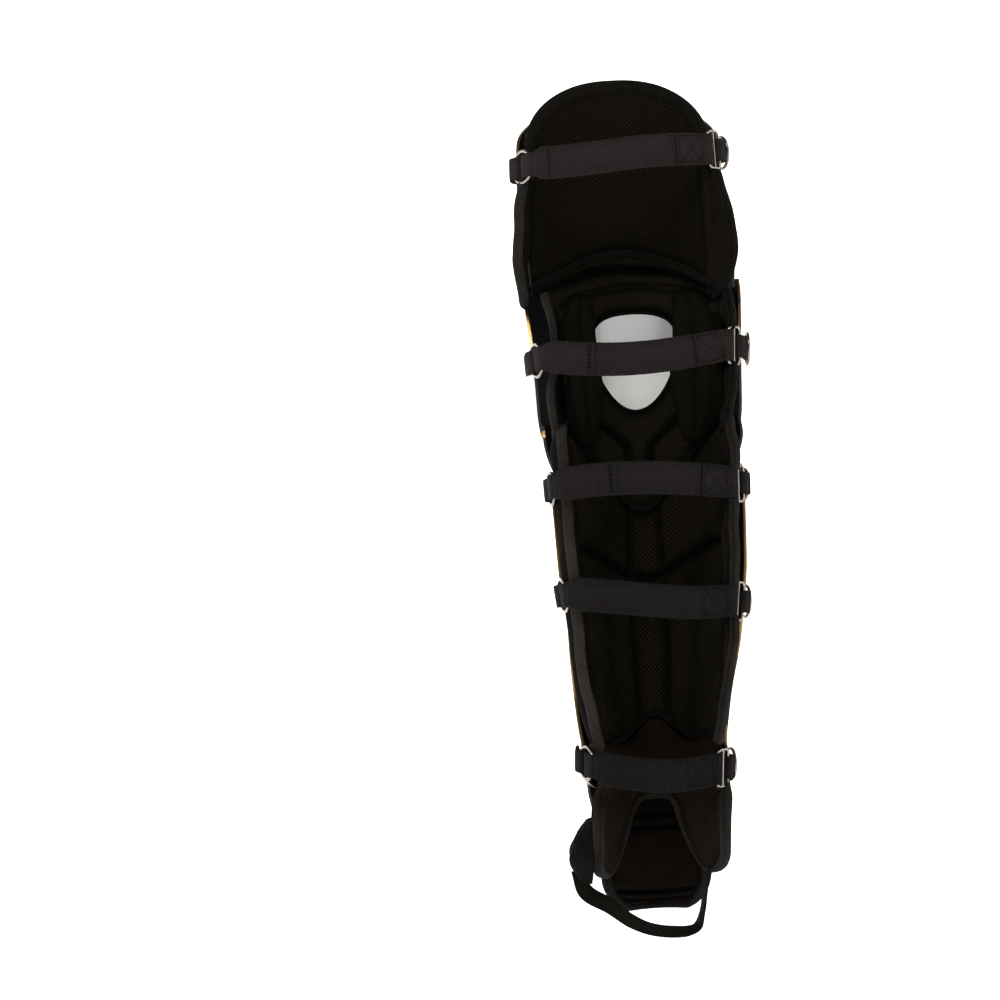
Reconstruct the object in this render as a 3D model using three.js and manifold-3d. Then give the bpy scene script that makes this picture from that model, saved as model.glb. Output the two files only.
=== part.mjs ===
// A catcher's leg guard for the right leg: hard plates in front, padding on the
// leg side, bound side wings, five straps behind the leg and a strap under the foot.
// Millimetres. +Z runs up the leg, +Y points forwards out of the knee and +X to the
// wearer's right. The origin is on the leg's axis, level with the middle of the knee hole.

import * as THREE from 'three';
import { mergeVertices } from 'three/addons/utils/BufferGeometryUtils.js';
import Module from 'manifold-3d';

const wasm = await Module();
wasm.setup();

// Heights from the middle of the knee hole.
const thighRise = 222;
const toeDrop = 455;

// Half widths and depths of the hollow that the leg fills.
const thighHalf = 67;
const kneeHalf = 63;
const calfHalf = 57;
const ankleHalf = 40;
const thighFront = 32;
const kneeFront = 70;
const shinFront = 52;
const instepFront = 102;
const kneeBack = 14;
const calfBack = 28;

// Layers, counted outwards from the leg.
const padThickness = 12.5;
const padEdge = 5;
const wingThickness = 4.4;
const shellThickness = 3;
const layerGap = 0.6;
const shellGap = 1.3;
const lapGap = 1.3;
const shellFlare = 2;
const sideTuck = 3;

// Thigh pad, its wings and the soft fold under it.
const archRise = 84;
const archDepth = 30;
const thighShoulder = 162;
const foldHeight = 26;
const thighWingTop = 186;
const thighWingBottom = 46;
const thighWingReach = 13;

// Knee pad, its hole, its columns and its tongue.
const kneeHoleTop = 38;
const kneeHoleBottom = 41;
const kneeHoleWidth = 68;
const holeCutReach = 40;
const tongueDrop = 123;
const tongueSlope = 1.4;
const tongueRadius = 20;
const columnTop = 50;
const columnBottom = 70;
const columnInside = 33;
const columnOutside = 60;
const columnProud = 6.5;
const kneeWingTop = 44;
const kneeWingBottom = 50;
const kneeWingReach = 16;

// Shin pad and its wings.
const shinLobeDrop = 307;
const shinArchRise = 18;
const shinLobeSpacing = 60;
const shinWingTop = 54;
const shinWingReach = 17;
const chevronDrop = 148;
const grooveWidth = 3.6;
const grooveDepth = 4.5;

// Ankle pad, its cutout and the toe flap below it.
const cutoutTop = 355;
const ankleLobeDrop = 413;
const anklePadThickness = 9;
const ankleReach = 16;
const toeTop = 345;
const toeHalf = 41;
const toePadThickness = 7;
const pocketTop = 366;
const pocketBottom = 408;
const pocketBulge = 17;

// Straps and their hardware.
const strapWidth = 26;
const strapThickness = 1.8;
const strapEndWidth = 17.6;
const sewnLength = 20;
const sewnWidth = 24.6;
const plyGap = 0.4;
const ringWire = 2.8;
const ringRadius = 12.4;
const tabWidth = 17.6;
const tabLength = 30;
const tabThickness = 1.4;
const wireClearance = 0.6;
const hookHeight = 31.6;
const hookLength = 13;
const hookWire = 2.2;
const domeRadius = 7.5;
const domeHeight = 3.6;
const stirrupWidth = 20;
const stirrupThickness = 1.6;
const stirrupDrop = 459;

const finishes = {
  mesh: { color: 0x14120f, roughness: 0.95, metalness: 0 },
  binding: { color: 0x1b191a, roughness: 0.9, metalness: 0 },
  webbing: { color: 0x1d1b1c, roughness: 0.88, metalness: 0 },
  shell: { color: 0xc9a86a, roughness: 0.3, metalness: 0.35 },
  metal: { color: 0x8d8782, roughness: 0.25, metalness: 1 },
};

// One row for each height of the hollow: half is the half width, front the place of
// the shin line and back the place where the sides begin to run straight back.
const stations = [
  { z: -1.03 * toeDrop, half: 1.02 * ankleHalf, front: 1.05 * instepFront, back: 8 },
  { z: -0.93 * toeDrop, half: 1.03 * ankleHalf, front: 0.76 * instepFront, back: -8 },
  { z: -0.86 * toeDrop, half: 1.01 * ankleHalf, front: 1.16 * shinFront, back: -0.57 * calfBack },
  { z: -0.78 * toeDrop, half: ankleHalf, front: 1.02 * shinFront, back: -0.7 * calfBack },
  { z: -0.7 * toeDrop, half: 1.06 * ankleHalf, front: shinFront, back: -0.86 * calfBack },
  { z: -0.62 * toeDrop, half: 0.83 * calfHalf, front: 1.01 * shinFront, back: -0.96 * calfBack },
  { z: -0.49 * toeDrop, half: 0.95 * calfHalf, front: 1.06 * shinFront, back: -calfBack },
  { z: -0.33 * toeDrop, half: calfHalf, front: 1.14 * shinFront, back: -0.93 * calfBack },
  { z: -0.17 * toeDrop, half: 0.95 * kneeHalf, front: 0.95 * kneeFront, back: -1.4 * kneeBack },
  { z: 0, half: kneeHalf, front: kneeFront, back: -kneeBack },
  { z: 0.37 * thighRise, half: 1.02 * thighHalf, front: 0.86 * kneeFront, back: -0.6 * kneeBack },
  { z: 0.73 * thighRise, half: thighHalf, front: 1.45 * thighFront, back: -0.2 * kneeBack },
  { z: 1.02 * thighRise, half: 0.96 * thighHalf, front: thighFront, back: 0.1 * kneeBack },
];

const straightReach = 60; // length behind the arc that one unit of share stands for

const mix = (a, b, t) => a + (b - a) * t;
const clamp01 = (t) => Math.min(1, Math.max(0, t));

function smooth(from, to, value) {
  const t = clamp01((value - from) / (to - from));
  return t * t * (3 - 2 * t);
}

// A smooth curve through a table's rows, read by the first column that is named.
function through(rows, key, column, at) {
  const last = rows.length - 1;
  if (at <= rows[0][key]) return rows[0][column];
  if (at >= rows[last][key]) return rows[last][column];
  let i = 0;
  while (rows[i + 1][key] < at) i += 1;
  const slope = (j) => {
    const a = rows[Math.max(0, j - 1)];
    const b = rows[Math.min(last, j + 1)];
    return (b[column] - a[column]) / (b[key] - a[key]);
  };
  const span = rows[i + 1][key] - rows[i][key];
  const t = (at - rows[i][key]) / span;
  const rise = (3 - 2 * t) * t * t;
  return (
    mix(rows[i][column], rows[i + 1][column], rise) +
    span * (slope(i) * t * (1 - t) * (1 - t) - slope(i + 1) * t * t * (1 - t))
  );
}

// The leg-side surface. share runs round the leg: 0 is the shin line, 1 and -1 are
// where the sides turn straight back.
function legSide(share, z) {
  const half = through(stations, 'z', 'half', z);
  const front = through(stations, 'z', 'front', z);
  const back = through(stations, 'z', 'back', z);
  const angle = (Math.min(1, Math.abs(share)) * Math.PI) / 2;
  const behind = Math.max(0, Math.abs(share) - 1) * straightReach;
  return new THREE.Vector3(
    Math.sign(share) * half * Math.sin(angle),
    back + (front - back) * Math.cos(angle) - behind,
    z,
  );
}

function outward(share, z) {
  const round = legSide(share + 0.004, z).sub(legSide(share - 0.004, z));
  const rise = legSide(share, z + 0.8).sub(legSide(share, z - 0.8));
  return round.cross(rise).normalize().negate();
}

function place(share, z, offset) {
  return legSide(share, z).addScaledVector(outward(share, z), offset);
}

// The share at which the surface, moved out by offset, stands x from the middle.
function shareAt(x, z, offset = 0) {
  const half = through(stations, 'z', 'half', z) + offset;
  return (Math.asin(Math.max(-1, Math.min(1, x / half))) * 2) / Math.PI;
}

const padOuter = (share) => mix(padThickness, padEdge, smooth(0.5, 0.8, Math.abs(share)));
const wingInner = padEdge - 0.3 * layerGap;
const shellInner = padThickness + shellGap;

// A closed geometry from quads given by rings of vertices.
function closedGeometry(vertices, triangles) {
  const flat = vertices.flatMap((v) => [v.x, v.y, v.z]);
  const geometry = new THREE.BufferGeometry();
  geometry.setAttribute('position', new THREE.Float32BufferAttribute(flat, 3));
  geometry.setIndex(triangles);
  return outwardFacing(geometry);
}

function outwardFacing(geometry) {
  const p = geometry.attributes.position;
  const index = geometry.index.array;
  const [a, b, c] = [new THREE.Vector3(), new THREE.Vector3(), new THREE.Vector3()];
  let volume = 0;
  for (let i = 0; i < index.length; i += 3) {
    a.fromBufferAttribute(p, index[i]);
    b.fromBufferAttribute(p, index[i + 1]);
    c.fromBufferAttribute(p, index[i + 2]);
    volume += a.dot(b.cross(c));
  }
  if (volume < 0) {
    for (let i = 0; i < index.length; i += 3) {
      [index[i + 1], index[i + 2]] = [index[i + 2], index[i + 1]];
    }
  }
  return geometry;
}

// A curved plate: outline(a, b) gives share and z for a and b from 0 to 1, and inner
// and outer give the two faces' distances from the leg-side surface.
function plate(outline, inner, outer, columns, rows) {
  const vertices = [];
  const wide = columns + 1;
  const layer = wide * (rows + 1);
  for (const offset of [inner, outer]) {
    for (let j = 0; j <= rows; j += 1) {
      for (let i = 0; i <= columns; i += 1) {
        const { share, z } = outline(i / columns, j / rows);
        vertices.push(place(share, z, offset(share, z, i / columns, j / rows)));
      }
    }
  }
  const triangles = [];
  const quad = (a, b, c, d) => triangles.push(a, b, c, a, c, d);
  const at = (i, j, side) => side * layer + j * wide + i;
  for (let j = 0; j < rows; j += 1) {
    for (let i = 0; i < columns; i += 1) {
      quad(at(i, j, 0), at(i, j + 1, 0), at(i + 1, j + 1, 0), at(i + 1, j, 0));
      quad(at(i, j, 1), at(i + 1, j, 1), at(i + 1, j + 1, 1), at(i, j + 1, 1));
    }
  }
  for (let i = 0; i < columns; i += 1) {
    quad(at(i, 0, 0), at(i + 1, 0, 0), at(i + 1, 0, 1), at(i, 0, 1));
    quad(at(i, rows, 0), at(i, rows, 1), at(i + 1, rows, 1), at(i + 1, rows, 0));
  }
  for (let j = 0; j < rows; j += 1) {
    quad(at(0, j, 0), at(0, j, 1), at(0, j + 1, 1), at(0, j + 1, 0));
    quad(at(columns, j, 0), at(columns, j + 1, 0), at(columns, j + 1, 1), at(columns, j, 1));
  }
  return closedGeometry(vertices, triangles);
}

// Spreads rows so that the ones at the two ends are close, for a rounded rim.
const closeEnds = (t) => 0.5 - 0.5 * Math.sin(Math.PI * (0.5 - t)) * 0.35 - 0.65 * (0.5 - t);

// Thins a padded piece towards its rim.
function rimmed(distance) {
  return 1 - 0.45 * (1 - smooth(0, 0.09, distance));
}

const rimDistance = (a, b) => Math.min(a, 1 - a, b, 1 - b);

function solidOf(geometry) {
  const bare = geometry.clone();
  bare.deleteAttribute('normal');
  bare.deleteAttribute('uv');
  const merged = mergeVertices(bare, 1e-4);
  return new wasm.Manifold(
    new wasm.Mesh({
      numProp: 3,
      vertProperties: merged.attributes.position.array,
      triVerts: new Uint32Array(merged.index.array),
    }),
  );
}

function geometryOf(solid) {
  const { vertProperties, triVerts } = solid.getMesh();
  const geometry = new THREE.BufferGeometry();
  geometry.setAttribute('position', new THREE.Float32BufferAttribute(vertProperties, 3));
  geometry.setIndex(Array.from(triVerts));
  return geometry;
}

function cut(geometry, cutters) {
  let solid = solidOf(geometry);
  for (const cutter of cutters) solid = solid.subtract(solidOf(cutter));
  return geometryOf(solid);
}

const guard = new THREE.Group();

function add(name, geometry, finish) {
  geometry.computeVertexNormals();
  const mesh = new THREE.Mesh(geometry, new THREE.MeshStandardMaterial(finishes[finish]));
  mesh.name = name;
  guard.add(mesh);
  return mesh;
}

// Outlines that neighbouring pieces share, as heights over the share round the leg.
const across = (share) => Math.sin((Math.min(1, Math.abs(share)) * Math.PI) / 2);
const thighArch = (share) => archRise - archDepth * across(share) ** 2;

function thighTopEdge(share) {
  const round = (1 - across(share) ** 2.4) ** (1 / 2.4);
  return mix(thighShoulder, thighRise, round);
}

function kneeTopEdge(share) {
  return archRise - foldHeight - 0.2 * archDepth * across(share) ** 2;
}

function tongueEdge(share) {
  const x = kneeHalf * across(share) * tongueSlope;
  return -tongueDrop + Math.hypot(x, tongueRadius) - tongueRadius;
}

function shinBottomEdge(share) {
  const x = 1.06 * ankleHalf * across(share);
  const wave = Math.cos((Math.PI * Math.min(x / shinLobeSpacing, 0.7)) * 2);
  return -shinLobeDrop + (shinArchRise / 2) * (1 + wave);
}

const padShare = 0.95; // how far round the pads reach
const wingStart = 0.86; // where the wings are sewn on, outside the pads

function thighPad() {
  const outline = (a, b) => {
    const share = mix(-padShare, padShare, a);
    return { share, z: mix(thighArch(share), thighTopEdge(share), closeEnds(b)) };
  };
  const outer = (share, z, a, b) => padOuter(share) * rimmed(rimDistance(a, b));
  add('thigh_pad', plate(outline, () => -1, outer, 16, 6), 'mesh');
}

// The crescent of soft cloth in the fold between the thigh pad and the knee pad.
function kneeFold() {
  const outline = (a, b) => {
    const share = mix(-0.86, 0.86, a);
    const low = kneeTopEdge(share) + layerGap;
    return { share, z: mix(low, thighArch(share) - layerGap, b) };
  };
  const pleat = (b) => 1.6 * Math.sin(3 * Math.PI * b);
  const inner = (share, z, a, b) => 3 - pleat(b);
  const outer = (share, z, a, b) => 0.8 * padOuter(share) - 1.5 + pleat(b);
  add('knee_fold', plate(outline, inner, outer, 12, 4), 'mesh');
}

// A band cutter that follows the surface under a path of x and z points.
function groove(path, depth = grooveDepth, width = grooveWidth) {
  const outline = (a, b) => {
    const at = a * (path.length - 1);
    const i = Math.min(path.length - 2, Math.floor(at));
    const [from, to] = [path[i], path[i + 1]];
    const run = new THREE.Vector2(to.x - from.x, to.z - from.z).normalize();
    const x = mix(from.x, to.x, at - i) - run.y * (b - 0.5) * width;
    const z = mix(from.z, to.z, at - i) + run.x * (b - 0.5) * width;
    return { share: shareAt(x, z), z };
  };
  return plate(outline, () => -4, () => depth, 2 * (path.length - 1), 1);
}

const mirrored = (path) => path.map(({ x, z }) => ({ x: -x, z }));

function kneeHoleOutline() {
  const half = kneeHoleWidth / 2;
  const shape = new THREE.Shape();
  shape.moveTo(0, kneeHoleTop);
  shape.bezierCurveTo(0.75 * half, kneeHoleTop, half, 0.75 * kneeHoleTop, half, 0.35 * kneeHoleTop);
  shape.bezierCurveTo(0.95 * half, -0.4 * kneeHoleBottom, 0.45 * half, -kneeHoleBottom, 0, -kneeHoleBottom);
  shape.bezierCurveTo(-0.45 * half, -kneeHoleBottom, -0.95 * half, -0.4 * kneeHoleBottom, -half, 0.35 * kneeHoleTop);
  shape.bezierCurveTo(-half, 0.75 * kneeHoleTop, -0.75 * half, kneeHoleTop, 0, kneeHoleTop);
  return shape;
}

function kneePad() {
  const outline = (a, b) => {
    const share = mix(-padShare, padShare, a);
    return { share, z: mix(tongueEdge(share), kneeTopEdge(share), closeEnds(b)) };
  };
  const outer = (share, z, a, b) => padOuter(share) * rimmed(rimDistance(a, b));
  const body = plate(outline, () => 0, outer, 16, 7);
  const hole = new THREE.ExtrudeGeometry(kneeHoleOutline(), {
    depth: kneeFront + holeCutReach,
    bevelEnabled: false,
    curveSegments: 6,
  });
  hole.rotateX(Math.PI / 2);
  hole.translate(0, kneeFront + holeCutReach, 0);
  const arm = [
    { x: 0.5 * columnInside + 15, z: -1.22 * kneeHoleBottom },
    { x: 0.3 * columnInside, z: -1.7 * kneeHoleBottom },
    { x: 0.2 * columnInside, z: -2.5 * kneeHoleBottom },
  ];
  add('knee_pad', cut(body, [hole, groove(arm), groove(mirrored(arm))]), 'mesh');
}

// Two long cushions that stand proud on either side of the knee hole.
function kneeColumns() {
  const rows = [
    { b: 0, inside: 0.35, outside: 0.75 },
    { b: 0.06, inside: 0.12, outside: 0.9 },
    { b: 0.3, inside: 0, outside: 1 },
    { b: 0.7, inside: 0, outside: 1 },
    { b: 0.93, inside: 0.12, outside: 0.86 },
    { b: 1, inside: 0.35, outside: 0.65 },
  ];
  for (const [side, name] of [[-1, 'knee_column_left'], [1, 'knee_column_right']]) {
    const outline = (a, b) => {
      const { b: height, inside, outside } = rows[Math.round(b * (rows.length - 1))];
      const x = mix(columnInside, columnOutside, mix(inside, outside, a));
      const z = mix(-columnBottom, columnTop, height);
      return { share: shareAt(side * x, z), z };
    };
    const inner = (share, z, a, b) =>
      -layerGap - 1.5 - (columnProud - 1.5) * smooth(0, 0.2, rimDistance(a, b));
    add(name, plate(outline, inner, () => -layerGap, 4, rows.length - 1), 'mesh');
  }
}

function shinPad() {
  const outline = (a, b) => {
    const share = mix(-padShare, padShare, a);
    const top = tongueEdge(share) - layerGap;
    return { share, z: mix(shinBottomEdge(share), top, closeEnds(b)) };
  };
  const outer = (share, z, a, b) => padOuter(share) * rimmed(rimDistance(a, b));
  const body = plate(outline, () => 0, outer, 16, 7);
  const chevron = [
    { x: 0.93 * calfHalf, z: -chevronDrop },
    { x: 0.6 * calfHalf, z: -1.09 * chevronDrop },
    { x: 0.24 * calfHalf, z: -1.18 * chevronDrop },
    { x: 0, z: -1.2 * chevronDrop },
  ];
  const seam = [
    { x: 0.24 * calfHalf, z: -1.23 * chevronDrop },
    { x: 0.2 * calfHalf, z: -0.92 * shinLobeDrop },
  ];
  const cutters = [chevron, mirrored(chevron), seam, mirrored(seam)].map((p) => groove(p));
  add('shin_pad', cut(body, cutters), 'mesh');
}

// The ankle pad is a horseshoe: an arch over the toe flap between two hanging lobes.
// This is its lower edge, with a row for each place round the leg.
const ankleEdge = [
  { share: 0, z: -cutoutTop },
  { share: 0.2, z: -1.004 * cutoutTop },
  { share: 0.31, z: -1.02 * cutoutTop },
  { share: 0.38, z: -1.056 * cutoutTop },
  { share: 0.46, z: -0.93 * ankleLobeDrop },
  { share: 0.56, z: -0.98 * ankleLobeDrop },
  { share: 0.72, z: -ankleLobeDrop },
  { share: 0.95, z: -ankleLobeDrop },
  { share: 1.1, z: -0.985 * ankleLobeDrop },
  { share: 1 + ankleReach / straightReach, z: -0.93 * ankleLobeDrop },
];

function anklePad() {
  const last = ankleEdge.length - 1;
  const outline = (a, b) => {
    const column = Math.round((2 * a - 1) * last);
    const { share, z } = ankleEdge[Math.abs(column)];
    const top = shinBottomEdge(share) - layerGap - 2 * smooth(0.8, 0.95, share);
    return { share: Math.sign(column) * share, z: mix(z, top, closeEnds(b)) };
  };
  const outer = (share, z, a, b) => anklePadThickness * rimmed(rimDistance(a, b));
  add('ankle_pad', plate(outline, () => 0, outer, 2 * last, 5), 'mesh');
}

const toeInner = anklePadThickness + 0.3 * shellGap;
const toeRows = [
  { b: 0, width: 0.55 },
  { b: 0.06, width: 0.8 },
  { b: 0.16, width: 0.96 },
  { b: 0.3, width: 1 },
  { b: 0.6, width: 0.86 },
  { b: 1, width: 0.7 },
];

function toeOutline(inset) {
  return (a, b) => {
    const z = mix(-toeDrop + inset, -toeTop, b);
    const half = (toeHalf - inset) * through(toeRows, 'b', 'width', b);
    return { share: shareAt(mix(-half, half, a), z, toeInner), z };
  };
}

function toePad() {
  const rim = (a, b) => 1 - smooth(0, 0.12, Math.min(a, 1 - a, b));
  const inner = (share, z, a, b) => toeInner + 2.5 * rim(a, b);
  const body = plate(toeOutline(0), inner, () => toeInner + toePadThickness, 8, 7);
  add('toe_pad', body, 'mesh');
}

// A side wing: a bound flap sewn on outside the pad. reach is how far each row's free
// edge stands behind the arc's end, as a share of the wing's whole reach.
function wing(name, side, { top, bottom, reach, rows, splay = 0 }) {
  const outline = (a, b) => {
    const z = mix(bottom, top, b);
    const edge = through(rows, 'b', 'reach', b) * reach;
    return { share: side * mix(wingStart, 1 + edge / straightReach, a), z };
  };
  const lean = (a, b) => splay * a * Math.sin(Math.PI * clamp01(b));
  const inner = (share, z, a, b) => wingInner + lean(a, b);
  const outer = (share, z, a, b) => inner(share, z, a, b) + wingThickness * rimmed(rimDistance(a, b));
  add(name, plate(outline, inner, outer, 3, rows.length + 2), 'binding');
}

const thighWing = {
  top: thighWingTop,
  bottom: thighWingBottom,
  reach: thighWingReach,
  splay: 5,
  rows: [
    { b: 0, reach: -0.5 },
    { b: 0.1, reach: 0.45 },
    { b: 0.3, reach: 1 },
    { b: 0.6, reach: 0.8 },
    { b: 0.85, reach: 0.2 },
    { b: 1, reach: -0.4 },
  ],
};

const kneeWing = {
  top: kneeWingTop,
  bottom: -kneeWingBottom,
  reach: kneeWingReach,
  rows: [
    { b: 0, reach: -0.2 },
    { b: 0.12, reach: 0.55 },
    { b: 0.4, reach: 1 },
    { b: 0.7, reach: 0.95 },
    { b: 0.9, reach: 0.5 },
    { b: 1, reach: -0.1 },
  ],
};

const shinWing = {
  top: -shinWingTop,
  bottom: -shinLobeDrop + 4,
  reach: shinWingReach,
  rows: [
    { b: 0, reach: 0.5 },
    { b: 0.15, reach: 0.8 },
    { b: 0.4, reach: 0.95 },
    { b: 0.75, reach: 1 },
    { b: 0.9, reach: 0.85 },
    { b: 0.97, reach: 0.4 },
    { b: 1, reach: -0.1 },
  ],
};

// The hard plates over the pads. level counts the plates stacked under a plate where it
// laps its neighbours, crown bulges its middle, ridge raises its centre line and flare
// moves its sides out. Each row gives its half width round the leg at one height.
const shells = {
  thigh_shell: {
    top: 0.88 * thighRise,
    bottom: 0.4 * thighRise,
    level: 0.4,
    crown: 0,
    ridge: 0,
    flare: -sideTuck,
    rows: [
      { b: 0, share: 0.95 },
      { b: 0.5, share: 0.96 },
      { b: 0.8, share: 0.86 },
      { b: 1, share: 0.55 },
    ],
  },
  knee_cap_upper: {
    top: 0.47 * thighRise,
    bottom: 0.235 * thighRise,
    level: 1.5,
    crown: 0,
    ridge: 0,
    flare: -sideTuck,
    rows: [
      { b: 0, share: 0.88 },
      { b: 0.5, share: 0.9 },
      { b: 0.85, share: 0.84 },
      { b: 1, share: 0.72 },
    ],
  },
  knee_cap: {
    top: 0.27 * thighRise,
    bottom: -0.15 * toeDrop,
    level: 2.65,
    crown: 9,
    ridge: 0,
    flare: -sideTuck,
    rows: [
      { b: 0, share: 0.55 },
      { b: 0.12, share: 0.76 },
      { b: 0.5, share: 0.97 },
      { b: 0.88, share: 0.88 },
      { b: 1, share: 0.8 },
    ],
  },
  knee_cap_lower: {
    top: -0.11 * toeDrop,
    bottom: -0.235 * toeDrop,
    level: 1,
    crown: 0,
    ridge: 2,
    flare: 0,
    rows: [
      { b: 0, share: 0.5 },
      { b: 0.2, share: 0.62 },
      { b: 0.7, share: 0.86 },
      { b: 1, share: 0.84 },
    ],
  },
  shin_shell: {
    top: -0.19 * toeDrop,
    bottom: -toeTop + 3 * shellGap,
    level: 0,
    crown: 0,
    ridge: 2,
    flare: shellFlare,
    rows: [
      { b: 0, share: 0.6 },
      { b: 0.05, share: 0.88 },
      { b: 0.2, share: 0.97 },
      { b: 0.6, share: 0.95 },
      { b: 0.9, share: 0.94 },
      { b: 0.97, share: 0.9 },
      { b: 1, share: 0.8 },
    ],
  },
  toe_shell: {
    top: -0.785 * toeDrop,
    bottom: -0.97 * toeDrop,
    level: 0.8,
    crown: 0,
    ridge: 2,
    flare: shellFlare,
    rows: [
      { b: 0, share: 0.3 },
      { b: 0.12, share: 0.42 },
      { b: 0.5, share: 0.46 },
      { b: 1, share: 0.36 },
    ],
  },
  ankle_shell: {
    top: -toeTop + strapWidth,
    bottom: -1.1 * toeTop,
    level: 2.1,
    crown: 0,
    ridge: 0,
    flare: shellFlare,
    rows: [
      { b: 0, share: 0.42 },
      { b: 0.3, share: 0.64 },
      { b: 0.75, share: 0.7 },
      { b: 1, share: 0.5 },
    ],
  },
};

function shellFaces({ top, bottom, level, crown, ridge, flare }) {
  const base = shellInner + level * (shellThickness + lapGap);
  const inner = (share, z) => {
    const bulge = Math.sin(Math.PI * clamp01((z - bottom) / (top - bottom)));
    const round = crown * bulge * (1 - smooth(0.1, 0.95, Math.abs(share)));
    const spine = ridge * (1 - smooth(0.06, 0.2, Math.abs(share)));
    return base + round + spine + flare * smooth(0.6, 1, Math.abs(share));
  };
  return { inner, outer: (share, z) => inner(share, z) + shellThickness };
}

function shellShare({ top, bottom, rows }, z) {
  return through(rows, 'b', 'share', (z - bottom) / (top - bottom));
}

function addShell(name) {
  const sizes = shells[name];
  const outline = (a, b) => {
    const z = mix(sizes.bottom, sizes.top, b);
    return { share: mix(-1, 1, a) * shellShare(sizes, z), z };
  };
  const { inner, outer } = shellFaces(sizes);
  add(name, plate(outline, inner, outer, 12, sizes.rows.length + 1), 'shell');
}

// A flat band along a path. Each step has its middle, the direction across the band and
// the band's width there; the thickness stands on both sides of the path.
function band(steps, thickness) {
  const corners = steps.map(({ at, up, width }, i) => {
    const before = steps[Math.max(0, i - 1)].at;
    const after = steps[Math.min(steps.length - 1, i + 1)].at;
    const run = after.clone().sub(before).normalize();
    const side = up.clone().addScaledVector(run, -up.dot(run)).normalize();
    const face = run.cross(side).multiplyScalar(thickness / 2);
    const reach = side.multiplyScalar(width / 2);
    return [[-1, -1], [1, -1], [1, 1], [-1, 1]].map(([u, v]) =>
      at.clone().addScaledVector(reach, u).addScaledVector(face, v),
    );
  });
  const triangles = [0, 2, 1, 0, 3, 2];
  for (let i = 0; i < corners.length - 1; i += 1) {
    for (let k = 0; k < 4; k += 1) {
      const next = (k + 1) % 4;
      const [p, q, r, s] = [4 * i + k, 4 * i + next, 4 * i + 4 + next, 4 * i + 4 + k];
      triangles.push(p, q, r, p, r, s);
    }
  }
  const end = 4 * (corners.length - 1);
  triangles.push(end, end + 1, end + 2, end, end + 2, end + 3);
  return closedGeometry(corners.flat(), triangles);
}

// The five straps from the thigh down. shell is the plate they fasten to, bow how far the
// middle stands behind the ends, sag how far it hangs below them, turnIn and turnOut how
// far each fitting turns in behind the leg, in degrees, and slack the length of webbing
// between the plate's edge and the hook. fold is where the part that doubles back from the
// ring ends, as a share of the strap's length, and stand lifts the tabs off the plate.
const straps = [
  { z: 0.725 * thighRise, shell: 'thigh_shell', bow: 34, sag: 3, turnIn: 4, turnOut: 18 },
  { z: 0.02 * thighRise, shell: 'knee_cap', bow: 32, sag: 5, turnIn: 2, turnOut: 18 },
  { z: -0.225 * toeDrop, shell: 'shin_shell', bow: 24, sag: -2, turnIn: 2, turnOut: 16 },
  { z: -0.42 * toeDrop, shell: 'shin_shell', bow: 24, sag: 8, turnIn: 2, turnOut: 14 },
  { z: -toeTop + strapWidth, shell: 'shin_shell', bow: 22, sag: 9, turnIn: 2, turnOut: 13 },
];
const strapEnds = [
  { slack: 6, fold: 0.2, stand: 1.3 },
  { slack: 8, fold: 0.42, stand: 0.7 },
  { slack: 16, fold: 0.4, stand: 0.5 },
  { slack: 14, fold: 0.82, stand: 0.6 },
  { slack: 14, fold: 0.88, stand: 1.3 },
];
const strapTurn = 52; // degrees that a strap turns between a fitting and the leg's back
const bendLength = 6;
const ringSides = 11;
const loopRise = 2;

// Where a fitting leaves its plate: the edge of the plate, the way back from it, the way
// up it and the way out.
function fitting(strap, side, lean) {
  const sizes = shells[strap.shell];
  const { outer } = shellFaces(sizes);
  const edge = shellShare(sizes, strap.z);
  const tabLift = tabThickness + plyGap / 2 + strap.stand * shellGap;
  const lay = (share, z, lift) => place(side * share, z, outer(share, z) + tabLift + lift);
  const start = lay(edge, strap.z, 0);
  const up = lay(edge, strap.z + 8, 0).sub(lay(edge, strap.z - 8, 0)).normalize();
  const rear = start.clone().sub(lay(edge - 0.04, strap.z, 0)).normalize();
  rear.applyAxisAngle(up, (-side * lean * Math.PI) / 180);
  rear.addScaledVector(up, -rear.dot(up)).normalize();
  const out = new THREE.Vector3().crossVectors(up, rear).multiplyScalar(side).normalize();
  return { start, up, rear, out, edge, lay };
}

// The steps of a webbing loop round a wire, from the outer ply round the wire's far side
// to the inner ply. reach is how far past the wire's middle the loop goes.
function loopSteps(wire, toward, out, up, { thickness, ply, width, reach }) {
  const half = thickness / 2 + wireClearance + ply / 2;
  const flat = (ply + plyGap) / 2;
  const far = reach ?? half;
  const rows = [
    { along: -half - loopRise, aside: flat },
    { along: -0.6 * half, aside: 1.02 * half },
    { along: far - 0.6 * half, aside: 1.02 * half },
    { along: far, aside: 0.45 * half },
  ];
  const back = rows.map((row) => ({ along: row.along, aside: -row.aside })).reverse();
  return [...rows, ...back].map(({ along, aside }) => ({
    at: wire.clone().addScaledVector(toward, along).addScaledVector(out, aside),
    up,
    width,
  }));
}

const loopStand = (thickness, ply) => thickness / 2 + wireClearance + ply / 2 + loopRise;

// How far past the ring's wire a flat loop can reach before its corners meet the ring.
function ringReach(width, ply) {
  const inside = ringRadius * Math.cos(Math.PI / ringSides) - ringWire / 2 - wireClearance;
  return ringRadius - (Math.sqrt(inside ** 2 - (width / 2) ** 2) - ply / 2);
}

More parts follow.
